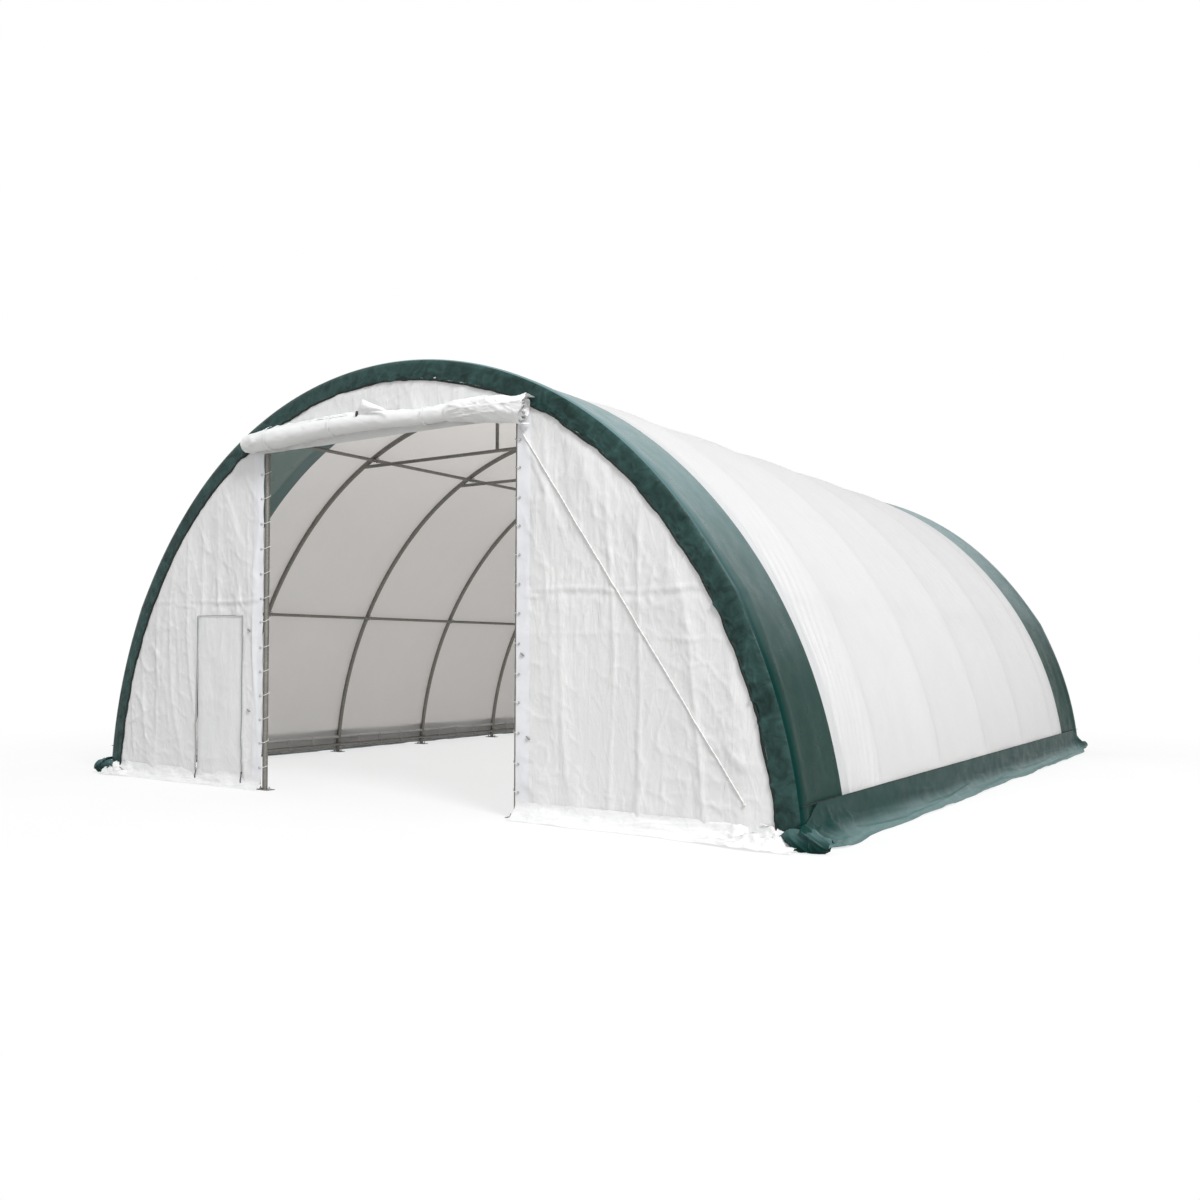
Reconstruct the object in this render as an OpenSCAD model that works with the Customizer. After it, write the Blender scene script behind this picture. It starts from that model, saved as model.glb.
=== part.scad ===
// Fabric storage shelter: seven steel arches under a tarpaulin cover with
// dark green end bands, a laced white front wall with a rolled-up main door
// and a zipped man door, a closed rear wall and loose skirts on the ground.
// Millimetres, +Z up, X across, -Y is the front with the main door.
// The origin is the centre of the footprint, on the ground.

/* [Part] */
// Node to show

/* [Overall size] */
// Width over the cover at the ground, mm
span = 9144; // [7000:1:12000]
// Height of the crown above the ground, mm
rise = 4572; // [3600:1:6000]
// Length over the two end walls, mm
length = 12192; // [6000:1:20000]

/* [Arch shape] */
// Depth of the side arcs' centres below the ground, mm
centre_drop = 320; // [0:1:900]
// Angle above level where each side arc meets the crown arc, degrees
join_angle = 46; // [35:1:60]

/* [Frame] */
// Diameter of the arch tube and of the door posts, mm
arch_dia = 60; // [38:1:90]
// Wall of the splice sleeves slipped over the arch tube's joints, mm
sleeve_wall = 2; // [1:0.5:5]
// Length of the splice sleeves, mm
sleeve_len = 160; // [80:1:300]
// Diameter of purlins, rails, ties and girts, mm
purlin_dia = 42; // [25:1:60]
// Height of the wall purlins, mm
wall_purlin_z = 2070; // [1200:1:2600]
// Distance of the shoulder purlins from the middle, mm
shoulder_purlin_x = 1930; // [1200:1:2400]
// Clear drop from the shoulder purlins to the collar ties, mm
tie_drop = 23; // [5:1:200]
// Height of the girts in the end walls, mm
girt_z = 2150; // [1200:1:2600]
// Height of the base rails, mm
base_rail_z = 120; // [60:1:300]

/* [Base plates] */
// Thickness of the base plates, mm
plate_t = 8; // [4:1:15]
// Size of the base plates across the shelter, mm
plate_x = 200; // [150:1:260]
// Size of the base plates along the shelter, mm
plate_y = 120; // [80:1:200]
// Distance between the two bolt holes of a plate, mm
bolt_spacing = 140; // [100:1:200]
// Diameter of the bolt holes, mm
bolt_dia = 18; // [10:1:26]

/* [Fabric] */
// Thickness of the fabric solids, mm
fabric_t = 8; // [2:1:12]
// Length of each green end band along the roof, mm
band_len = 1100; // [500:1:2000]
// Width of the green ring folded onto the end face, mm
ring_w = 210; // [100:1:400]
// Height of the cover's lower hem, mm
hem_z = 60; // [20:1:150]

/* [Skirts] */
// Height of the line where the side skirts are welded on, mm
skirt_weld_z = 320; // [200:1:500]
// Height of the line where the end skirts are welded on, mm
end_weld_z = 150; // [100:1:300]
// Height of the welded strips, mm
weld_h = 30; // [20:1:60]
// How far the side skirts flare out at the ground, from the cover, mm
side_flare = 128; // [60:1:300]
// How far the end skirts slope out at the ground, mm
end_flare = 160; // [60:1:300]
// Strip of the side skirts that lies on the ground, mm
side_lie = 72; // [20:1:300]
// Strip of the end skirts that lies on the ground, mm
end_lie = 100; // [20:1:300]

/* [Doors] */
// Clear width between the main door's posts, mm
door_w = 3420; // [2400:1:4200]
// Drop from the crown to the rolled curtain's underside, mm
roll_drop = 817; // [600:1:1500]
// Diameter of the rolled curtain, mm
roll_dia = 250; // [150:1:320]
// Length of the rolled curtain, mm
roll_len = 3790; // [2600:1:4600]
// Sideways offset of the rolled curtain, mm
roll_shift = 0; // [-200:1:200]
// Width of the man door, mm
man_w = 800; // [600:1:1000]
// Height of the man door's head, mm
man_h = 1970; // [1700:1:2100]
// Distance from the middle to the man door's near edge, mm
man_x = 2070; // [1900:1:2600]

/* [Rope] */
// Diameter of the pull rope, mm
rope_dia = 12; // [6:1:20]
// Drop of the rope's upper end below the curtain's underside, mm
rope_top_drop = 75; // [20:1:200]
// Distance of the rope's upper end from the middle, mm
rope_top_x = 1785; // [1500:1:2200]
// Distance of the rope's lower end from the middle, mm
rope_low_x = 4070; // [3500:1:4200]
// Height of the rope's lower end, mm
rope_low_z = 330; // [250:1:900]

/* [Hidden] */
$fn = 256;
gap = 0.3;
half = span / 2;
end_y = length / 2;
arch_r = arch_dia / 2;
purlin_r = purlin_dia / 2;
sleeve_r = arch_r + sleeve_wall;
bays = 6;

// Three-centred arch through both feet and the crown
zc = -centre_drop;
up = rise - zc;
kap = (1 - sin(join_angle)) / cos(join_angle);
qa = 1 - kap * kap;
qb = 2 * (half - kap * up);
qc = half * half + zc * zc - up * up;
off = (-qb + sqrt(qb * qb - 4 * qa * qc)) / (2 * qa);
side_r = up + kap * off;
crown_r = side_r - off / cos(join_angle);
zk = rise - crown_r;

// Layers, measured inwards from the outer face of the cover
sleeve_bow = sleeve_len * sleeve_len / (8 * crown_r);
d_arch = fabric_t + gap + sleeve_bow + sleeve_r;
d_purlin = d_arch + arch_r + gap + purlin_r;
d_panel = fabric_t + gap;

// Half width at height z of the layer d inwards
function side_x(z, d) = sqrt(pow(side_r - d, 2) - pow(z - zc, 2)) - off;
function join_z(d) = zc + (side_r - d) * sin(join_angle);
function crown_x(z, d) = sqrt(pow(crown_r - d, 2) - pow(z - zk, 2));
function half_x(z, d) = z > join_z(d) ? crown_x(z, d) : side_x(z, d);
function crown_z(x, d) = zk + sqrt(pow(crown_r - d, 2) - x * x);

// Places along the length
panel_y = end_y - fabric_t;
arch_y = panel_y - fabric_t - gap - sleeve_r;
bay = 2 * arch_y / bays;
purlin_end = arch_y + arch_r - 5;
foot_x = side_x(0, d_arch);

// Angle by which each tube stops short of the joint, inside the sleeve
sleeve_turn = 0.25;

// Heights and places of the frame
shoulder_z = crown_z(shoulder_purlin_x, d_purlin);
tie_z = shoulder_z - purlin_dia - tie_drop;
ridge_z = crown_z(0, d_purlin);
post_x = door_w / 2 + arch_r;
panel_edge = post_x + arch_r / 2;
door_h = rise - roll_drop;
roll_r = roll_dia / 2;
roll_z = door_h + roll_r;
top_panel_z = door_h + 35;
skirt_x = half + side_flare + side_lie;
end_skirt_x = side_x(end_weld_z + weld_h, d_panel);

// Crown tube of radius r, its ends hidden in the sleeves
module crown_tube(r) {
  part = join_angle + sleeve_turn;
  translate([0, 0, zk])
    rotate([90, 0, 0])
      rotate([0, 0, part])
        rotate_extrude(angle = 180 - 2 * part)
          translate([crown_r - d_arch, 0])
            circle(r = r, $fn = 72);
}

// Side tube of radius r, on the right
module side_tube(r) {
  translate([-off, 0, zc])
    rotate([90, 0, 0])
      rotate_extrude(angle = join_angle - sleeve_turn)
        translate([side_r - d_arch, 0])
          circle(r = r, $fn = 72);
}

// Splice sleeve over the joint between a side tube and the crown tube
module sleeve() {
  translate([-off, 0, zc])
    rotate([0, 90 - join_angle, 0])
      translate([0, 0, side_r - d_arch])
        rotate([0, 90, 0])
          cylinder(r = sleeve_r, h = sleeve_len, center = true, $fn = 72);
}

module arch(y) {
  translate([0, y, 0])
    difference() {
      union() {
        crown_tube(arch_r);
        for (s = [0, 1])
          mirror([s, 0, 0]) {
            side_tube(arch_r);
            sleeve();
          }
      }
      translate([-span, -span / 2, plate_t - span])
        cube([2 * span, span, span]);
    }
}

// Whole face inside the layer d, from height z0 up, between x0 and x1
module face_2d(d, z0, x0, x1) {
  intersection() {
    union() {
      intersection() {
        translate([0, zk])
          circle(r = crown_r - d);
        translate([-span, join_z(d)])
          square([2 * span, rise]);
      }
      intersection() {
        translate([-off, zc])
          circle(r = side_r - d);
        translate([0, z0])
          square([span, join_z(d) - z0]);
      }
      intersection() {
        translate([off, zc])
          circle(r = side_r - d);
        translate([-span, z0])
          square([span, join_z(d) - z0]);
      }
    }
    translate([x0, z0])
      square([x1 - x0, rise]);
  }
}

// Ring between the layers d0 and d1, down to height z0, in the X-Z plane
module ring_2d(d0, d1, z0) {
  difference() {
    face_2d(d0, z0, -span, span);
    face_2d(d1, z0 - 1, -span, span);
  }
}

// Extrusion of an X-Z shape from y0 to y1
module slab_y(y0, y1) {
  translate([0, y1, 0])
    rotate([90, 0, 0])
      linear_extrude(height = y1 - y0)
        children();
}

module tube_y(x, z, r, y0, y1) {
  translate([x, y0, z])
    rotate([-90, 0, 0])
      cylinder(r = r, h = y1 - y0, $fn = 72);
}

module tube_x(y, z, r, x0, x1) {
  translate([x0, y, z])
    rotate([0, 90, 0])
      cylinder(r = r, h = x1 - x0, $fn = 72);
}

module tube_z(x, y, r, z0, z1) {
  translate([x, y, z0])
    cylinder(r = r, h = z1 - z0, $fn = 72);
}

// Collar tie between the shoulders, cut to the arch tube
module collar(y) {
  reach = half_x(tie_z, d_arch);
  difference() {
    tube_x(y, tie_z, purlin_r, -reach, reach);
    translate([0, y, 0])
      crown_tube(arch_r + gap);
  }
}

module tie(y) {
  collar(y);
  tube_z(0, y, purlin_r, tie_z, ridge_z - purlin_r - gap);
}

module purlin(x, z) {
  tube_y(x, z, purlin_r, -purlin_end, purlin_end);
}

module post(x, y) {
  tube_z(x, y, arch_r, plate_t, tie_z - purlin_r - gap);
}

// Girt from a door post out to the arch
module girt(s, y) {
  reach = half_x(girt_z, d_arch);
  mirror([s, 0, 0])
    difference() {
      tube_x(y, girt_z, purlin_r, post_x, reach);
      tube_z(post_x, y, arch_r + gap, girt_z - arch_dia, girt_z + arch_dia);
      translate([0, y, 0])
        side_tube(arch_r + gap);
    }
}

module middle_girt(y) {
  difference() {
    tube_x(y, girt_z, purlin_r, -post_x, post_x);
    for (s = [-1, 1])
      tube_z(s * post_x, y, arch_r + gap, girt_z - arch_dia, girt_z + arch_dia);
  }
}

module end_band() {
  slab_y(-end_y, band_len - end_y)
    ring_2d(0, fabric_t, hem_z);
  slab_y(-end_y, fabric_t - end_y)
    ring_2d(0, ring_w, skirt_weld_z);
}

module cover() {
  slab_y(band_len - end_y, end_y - band_len)
    ring_2d(0, fabric_t, hem_z);
}

module side_skirt() {
  top = skirt_weld_z + weld_h;
  slab_y(-end_y, end_y)
    polygon([
      [side_x(top, 0) + gap, top],
      [side_x(skirt_weld_z, 0) + gap, skirt_weld_z],
      [skirt_x - side_lie, 0],
      [skirt_x, 0],
      [skirt_x, fabric_t],
      [skirt_x - side_lie + fabric_t, fabric_t],
      [side_x(skirt_weld_z, 0) + gap + fabric_t, skirt_weld_z],
      [side_x(top, 0) + gap + fabric_t, top]
    ]);
}

// End skirt between x0 and x1, welded on the outer face of the end panel
module end_skirt(x0, x1) {
  y0 = -panel_y - gap;
  toe = -end_y - end_flare;
  tip = toe - end_lie;
  translate([x0, 0, 0])
    rotate([90, 0, 90])
      linear_extrude(height = x1 - x0)
        polygon([
          [y0, end_weld_z + weld_h],
          [y0, end_weld_z],
          [toe, 0],
          [tip, 0],
          [tip, fabric_t],
          [toe - fabric_t, fabric_t],
          [y0 - fabric_t, end_weld_z],
          [y0 - fabric_t, end_weld_z + weld_h]
        ]);
}

module front_panel(x0, x1) {
  slab_y(-panel_y, fabric_t - panel_y)
    face_2d(d_panel, hem_z, x0, x1);
}

module left_front_panel() {
  difference() {
    front_panel(-half, -panel_edge);
    translate([-man_x - man_w, -end_y, 0])
      cube([man_w, 4 * fabric_t, man_h]);
  }
}

module man_flap() {
  translate([-man_x - man_w + gap, -panel_y, hem_z])
    cube([man_w - 2 * gap, fabric_t, man_h - gap - hem_z]);
}

// Curtain wound up in front of the wall, hanging by its top edge
module curtain_roll() {
  tube_x(
    -end_y - gap - roll_r,
    roll_z,
    roll_r,
    roll_shift - roll_len / 2,
    roll_shift + roll_len / 2
  );
  translate([-door_w / 2 + 200, -end_y - fabric_t / 2, roll_z])
    cube([door_w - 400, fabric_t * 1.5 - gap, roll_r]);
}

module top_front_panel() {
  slab_y(-panel_y, fabric_t - panel_y)
    face_2d(d_panel, top_panel_z, -panel_edge, panel_edge);
}

module back_panel() {
  slab_y(panel_y - fabric_t, panel_y)
    face_2d(d_panel, hem_z, -half, half);
}

module base_plate(x, y) {
  translate([x, y, 0])
    difference() {
      translate([-plate_x / 2, -plate_y / 2, 0])
        cube([plate_x, plate_y, plate_t]);
      for (s = [-1, 1])
        translate([s * bolt_spacing / 2, 0, -1])
          cylinder(d = bolt_dia, h = plate_t + 2, $fn = 72);
    }
}

module side_plates(s) {
  for (i = [0:bays])
    base_plate(s * foot_x, i * bay - arch_y);
}

module pull_rope() {
  top_z = door_h - rope_top_drop;
  run = rope_low_x - rope_top_x;
  fall = top_z - rope_low_z;
  translate([rope_top_x, -panel_y - gap - rope_dia / 2, top_z])
    rotate([0, 180 - atan2(run, fall), 0])
      cylinder(d = rope_dia, h = sqrt(run * run + fall * fall), $fn = 72);
}

module arch_1() color([0.62, 0.63, 0.63]) arch(-arch_y);
module arch_2() color([0.62, 0.63, 0.63]) arch(bay - arch_y);
module arch_3() color([0.62, 0.63, 0.63]) arch(2 * bay - arch_y);
module arch_4() color([0.62, 0.63, 0.63]) arch(3 * bay - arch_y);
module arch_5() color([0.62, 0.63, 0.63]) arch(4 * bay - arch_y);
module arch_6() color([0.62, 0.63, 0.63]) arch(5 * bay - arch_y);
module arch_7() color([0.62, 0.63, 0.63]) arch(arch_y);
module tie_2() color([0.58, 0.59, 0.59]) tie(bay - arch_y);
module tie_3() color([0.58, 0.59, 0.59]) tie(2 * bay - arch_y);
module tie_4() color([0.58, 0.59, 0.59]) tie(3 * bay - arch_y);
module tie_5() color([0.58, 0.59, 0.59]) tie(4 * bay - arch_y);
module tie_6() color([0.58, 0.59, 0.59]) tie(5 * bay - arch_y);
module ridge_purlin() color([0.6, 0.6, 0.6]) purlin(0, ridge_z);
module left_shoulder_purlin() color([0.6, 0.6, 0.6]) purlin(-shoulder_purlin_x, shoulder_z);
module right_shoulder_purlin() color([0.6, 0.6, 0.6]) purlin(shoulder_purlin_x, shoulder_z);
module left_wall_purlin()
  color([0.6, 0.6, 0.6]) purlin(-side_x(wall_purlin_z, d_purlin), wall_purlin_z);
module right_wall_purlin()
  color([0.6, 0.6, 0.6]) purlin(side_x(wall_purlin_z, d_purlin), wall_purlin_z);
module left_base_rail()
  color([0.6, 0.6, 0.6]) purlin(-side_x(base_rail_z, d_purlin), base_rail_z);
module right_base_rail()
  color([0.6, 0.6, 0.6]) purlin(side_x(base_rail_z, d_purlin), base_rail_z);
module front_left_post() color([0.62, 0.63, 0.63]) post(-post_x, -arch_y);
module front_right_post() color([0.62, 0.63, 0.63]) post(post_x, -arch_y);
module front_header() color([0.58, 0.59, 0.59]) collar(-arch_y);
module front_girts() {
  color([0.58, 0.59, 0.59]) girt(0, -arch_y);
  color([0.58, 0.59, 0.59]) girt(1, -arch_y);
}
module rear_left_post() color([0.62, 0.63, 0.63]) post(-post_x, arch_y);
module rear_right_post() color([0.62, 0.63, 0.63]) post(post_x, arch_y);
module rear_header() color([0.58, 0.59, 0.59]) collar(arch_y);
module rear_girts() {
  color([0.58, 0.59, 0.59]) girt(0, arch_y);
  color([0.58, 0.59, 0.59]) girt(1, arch_y);
  color([0.58, 0.59, 0.59]) middle_girt(arch_y);
}
module front_green_band() color([0.16, 0.27, 0.24]) end_band();
module white_cover() color([0.86, 0.86, 0.86]) cover();
module rear_green_band() color([0.16, 0.27, 0.24]) mirror([0, 1, 0]) end_band();
module left_skirt() color([0.16, 0.27, 0.24]) mirror([1, 0, 0]) side_skirt();
module right_skirt() color([0.16, 0.27, 0.24]) side_skirt();
module front_left_panel() color([0.88, 0.88, 0.89]) left_front_panel();
module front_right_panel() color([0.88, 0.88, 0.89]) front_panel(panel_edge, half);
module front_top_panel() color([0.88, 0.88, 0.89]) top_front_panel();
module man_door() color([0.85, 0.86, 0.88]) man_flap();
module rolled_door() color([0.84, 0.84, 0.86]) curtain_roll();
module rear_wall() color([0.88, 0.88, 0.89]) back_panel();
module front_left_skirt() color([0.86, 0.86, 0.86]) end_skirt(-end_skirt_x, -panel_edge);
module front_right_skirt() color([0.86, 0.86, 0.86]) end_skirt(panel_edge, end_skirt_x);
module rear_skirt() color([0.86, 0.86, 0.86]) mirror([0, 1, 0]) end_skirt(-end_skirt_x, end_skirt_x);
module left_base_plates() color([0.5, 0.51, 0.52]) side_plates(-1);
module right_base_plates() color([0.5, 0.51, 0.52]) side_plates(1);
module post_base_plates() {
  for (x = [-1, 1])
    for (y = [-1, 1])
      color([0.5, 0.51, 0.52]) base_plate(x * post_x, y * arch_y);
}
module door_pull_rope() color([0.9, 0.9, 0.88]) pull_rope();

arch_1();
arch_2();
arch_3();
arch_4();
arch_5();
arch_6();
arch_7();
tie_2();
tie_3();
tie_4();
tie_5();
tie_6();
ridge_purlin();
left_shoulder_purlin();
right_shoulder_purlin();
left_wall_purlin();
right_wall_purlin();
left_base_rail();
right_base_rail();
front_left_post();
front_right_post();
front_header();
front_girts();
rear_left_post();
rear_right_post();
rear_header();
rear_girts();
front_green_band();
white_cover();
rear_green_band();
left_skirt();
right_skirt();
front_left_panel();
front_right_panel();
front_top_panel();
man_door();
rolled_door();
rear_wall();
front_left_skirt();
front_right_skirt();
rear_skirt();
left_base_plates();
right_base_plates();
post_base_plates();
door_pull_rope();
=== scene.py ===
import math

import bmesh
import bpy
import numpy as np
from mathutils import Matrix, Vector


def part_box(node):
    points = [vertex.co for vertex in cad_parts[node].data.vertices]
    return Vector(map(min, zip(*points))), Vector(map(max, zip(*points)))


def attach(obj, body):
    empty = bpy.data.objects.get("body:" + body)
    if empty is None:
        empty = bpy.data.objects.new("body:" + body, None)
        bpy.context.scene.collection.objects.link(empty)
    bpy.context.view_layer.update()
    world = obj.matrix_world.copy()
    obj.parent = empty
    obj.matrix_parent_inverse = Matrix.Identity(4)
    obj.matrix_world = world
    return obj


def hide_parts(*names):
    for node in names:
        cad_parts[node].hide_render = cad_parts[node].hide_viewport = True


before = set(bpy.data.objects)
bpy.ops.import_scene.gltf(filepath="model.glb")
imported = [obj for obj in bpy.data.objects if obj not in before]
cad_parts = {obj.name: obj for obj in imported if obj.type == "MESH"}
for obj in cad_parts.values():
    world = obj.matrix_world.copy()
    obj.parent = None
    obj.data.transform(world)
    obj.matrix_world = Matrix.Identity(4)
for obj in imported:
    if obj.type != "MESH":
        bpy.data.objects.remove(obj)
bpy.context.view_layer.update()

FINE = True

def mid(node, axis):
    """Middle of a frame node along one axis."""
    lo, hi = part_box(node)
    return (lo[axis] + hi[axis]) / 2


# ---------------------------------------------------------------- sizes, metres
SPAN, RISE, LENGTH = 9.144, 4.572, 12.192
END = LENGTH / 2
T = 0.008               # fabric solids of the frame
BAND = 1.1              # width of the green end bands on the roof
RING = 0.21             # width of the ring drawn in over the end wall
WELD = 0.32             # height where the side skirts leave the cover
WALL_IN = 0.06          # wall sheets stop this far inside the cover's outer line

# outer line: two side arcs and a crown arc that touches them at the angle JOIN
DROP, JOIN = 0.32, math.radians(46)
up = RISE + DROP
kap = (1 - math.sin(JOIN)) / math.cos(JOIN)
qa, qb = 1 - kap * kap, 2 * (SPAN / 2 - kap * up)
qc = (SPAN / 2) ** 2 + DROP ** 2 - up ** 2
OFF = (-qb + math.sqrt(qb * qb - 4 * qa * qc)) / (2 * qa)
SIDE_R = up + kap * OFF
CROWN_R = SIDE_R - OFF / math.cos(JOIN)
ZK = RISE - CROWN_R
S_JOIN = CROWN_R * (math.pi / 2 - JOIN)

# places taken from the frame
ARCH_Y = mid("arch_7", 1)
BAY = 2 * ARCH_Y / 6
POST_X = mid("front_right_post", 0)
PANEL_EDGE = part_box("front_right_panel")[0][0]
PANEL_Y = -END + T
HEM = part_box("white_cover")[0][2]
DOOR = (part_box("man_door")[0][0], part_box("man_door")[1][0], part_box("man_door")[1][2])
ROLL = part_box("rolled_door")
EDGE_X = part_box("right_skirt")[1][0]
# seeds of the relief of the front wall's left and right sheet
LEFT_SEED, RIGHT_SEED = 71, 83


def arc(s):
    """Place and outward direction on the cover's outer line, s metres from the crown."""
    s = np.asarray(s, dtype=float)
    a = np.abs(s)
    crown = a < S_JOIN
    th = np.where(crown, math.pi / 2 - a / CROWN_R, JOIN - (a - S_JOIN) / SIDE_R)
    r = np.where(crown, CROWN_R, SIDE_R)
    cx = np.where(crown, 0.0, -OFF)
    cz = np.where(crown, ZK, -DROP)
    nx, nz = np.cos(th), np.sin(th)
    x, z = cx + r * nx, cz + r * nz
    sg = np.where(s < 0, -1.0, 1.0)
    return x * sg, z, nx * sg, nz


def s_at(z0, d=0.0):
    """Distance from the crown, along the line, to height z0."""
    return S_JOIN + SIDE_R * (JOIN - math.asin((z0 + DROP) / (SIDE_R - d)))


def half_x(z, d):
    """Half the width at height z, on the line d inside the outer one."""
    z = np.asarray(z, dtype=float)
    zj = -DROP + (SIDE_R - d) * math.sin(JOIN)
    side = np.sqrt(np.maximum((SIDE_R - d) ** 2 - (z + DROP) ** 2, 0)) - OFF
    crown = np.sqrt(np.maximum((CROWN_R - d) ** 2 - (z - ZK) ** 2, 0))
    return np.where(z > zj, crown, side)


def inset_of(x, z):
    """Shortest way from a point of an end wall to the cover's outer line."""
    ax = np.abs(x)
    side = np.arctan2(z + DROP, ax + OFF) < JOIN
    return np.where(side, SIDE_R - np.hypot(ax + OFF, z + DROP), CROWN_R - np.hypot(ax, z - ZK))


def crown_z(x, d):
    """Height above x, on the crown arc d inside the outer one."""
    return ZK + np.sqrt((CROWN_R - d) ** 2 - np.asarray(x, dtype=float) ** 2)


# ---------------------------------------------------------------- noise
def noise(u, v, seed):
    """Smooth noise between -1 and 1."""
    g = np.random.RandomState(seed).rand(128, 128) * 2 - 1
    u, v = np.broadcast_arrays(np.asarray(u, dtype=float), np.asarray(v, dtype=float))
    i, j = np.floor(u).astype(int), np.floor(v).astype(int)
    a, b = u - i, v - j
    a, b = a * a * a * (a * (a * 6 - 15) + 10), b * b * b * (b * (b * 6 - 15) + 10)
    g00, g10 = g[i % 128, j % 128], g[(i + 1) % 128, j % 128]
    g01, g11 = g[i % 128, (j + 1) % 128], g[(i + 1) % 128, (j + 1) % 128]
    return (g00 * (1 - a) + g10 * a) * (1 - b) + (g01 * (1 - a) + g11 * a) * b


def fbm(u, v, seed, octaves=4):
    """Noise in several sizes."""
    out, amp = 0, 1.0
    for k in range(octaves):
        out = out + amp * noise(u * 2 ** k + 17.3 * k, v * 2 ** k + 9.1 * k, seed + k)
        amp *= 0.5
    return out


def creases(u, v, seed, octaves=3):
    """Crisp folds: high along thin lines."""
    out, amp = 0, 1.0
    for k in range(octaves):
        n = noise(u * 1.9 ** k + 5.7 * k, v * 1.9 ** k + 3.1 * k, seed + 31 * k)
        out = out + amp * (1 - np.minimum(np.abs(n) * 3.0, 1.0)) ** 1.5
        amp *= 0.55
    return out


def smooth(a, b, x):
    """Soft step from 0 at a to 1 at b."""
    t = np.clip((np.asarray(x, dtype=float) - a) / (b - a), 0, 1)
    return t * t * (3 - 2 * t)


def bell(x, centre, width):
    """Bell curve of height 1."""
    return np.exp(-(((x - centre) / width) ** 2))


def ridge(pos, power, base):
    """Sharp folds at whole numbers, less a base level."""
    return (1 - np.abs(np.sin(math.pi * pos))) ** power - base


def wave(v, scale, seed, row=0):
    """Noise along one direction."""
    return noise(v * scale, 0 * v + row, seed)


def bezier(b, a0, a1, a2, a3):
    """Curve from a0 to a3, drawn towards a1 and a2."""
    c = 1 - b
    return c ** 3 * a0 + 3 * b * c ** 2 * a1 + 3 * b * b * c * a2 + b ** 3 * a3


def grid(rows, cols):
    return np.meshgrid(rows, cols, indexing="ij")


def points(*parts):
    """One array of points, or of flat coordinates, from its parts."""
    return np.stack(parts, axis=-1)


# ---------------------------------------------------------------- mesh helpers
def mesh_obj(name, verts, faces, mat, uv=None, sharp=None):
    """A smooth shaded mesh object; sharp is the angle that stays an edge."""
    me = bpy.data.meshes.new(name)
    me.from_pydata([tuple(v) for v in verts], [], faces)
    me.validate()
    me.update()
    me.polygons.foreach_set("use_smooth", [True] * len(me.polygons))
    if sharp is not None:
        me.set_sharp_from_angle(angle=math.radians(sharp))
    o = bpy.data.objects.new(name, me)
    bpy.context.scene.collection.objects.link(o)
    if uv is not None:
        lay = me.uv_layers.new(name="cut")
        idx = np.empty(len(me.loops), dtype=np.int64)
        me.loops.foreach_get("vertex_index", idx)
        lay.data.foreach_set("uv", np.asarray(uv, dtype=float)[idx].reshape(-1))
    o.data.materials.append(mat)
    return o


def grid_faces(nu, nv):
    """Faces of a grid of nu by nv points."""
    starts = [i * nv + j for i in range(nu - 1) for j in range(nv - 1)]
    return [(k, k + nv, k + nv + 1, k + 1) for k in starts]


def cloth(name, P, mat, uv, keep=None):
    """A sheet from a grid of points; keep says which cells stay."""
    nu, nv = P.shape[:2]
    faces = grid_faces(nu, nv)
    if keep is not None:
        faces = [f for f, k in zip(faces, keep.reshape(-1)) if k]
    V = P.reshape(-1, 3)
    o = mesh_obj(name, V, faces, mat, uv.reshape(-1, 2))
    bm = bmesh.new()
    bm.from_mesh(o.data)
    bmesh.ops.remove_doubles(bm, verts=bm.verts, dist=0.0004)
    loose = [v for v in bm.verts if not v.link_faces]
    bmesh.ops.delete(bm, geom=loose, context="VERTS")
    bm.to_mesh(o.data)
    bm.free()
    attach(o, "root")
    return o


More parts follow.
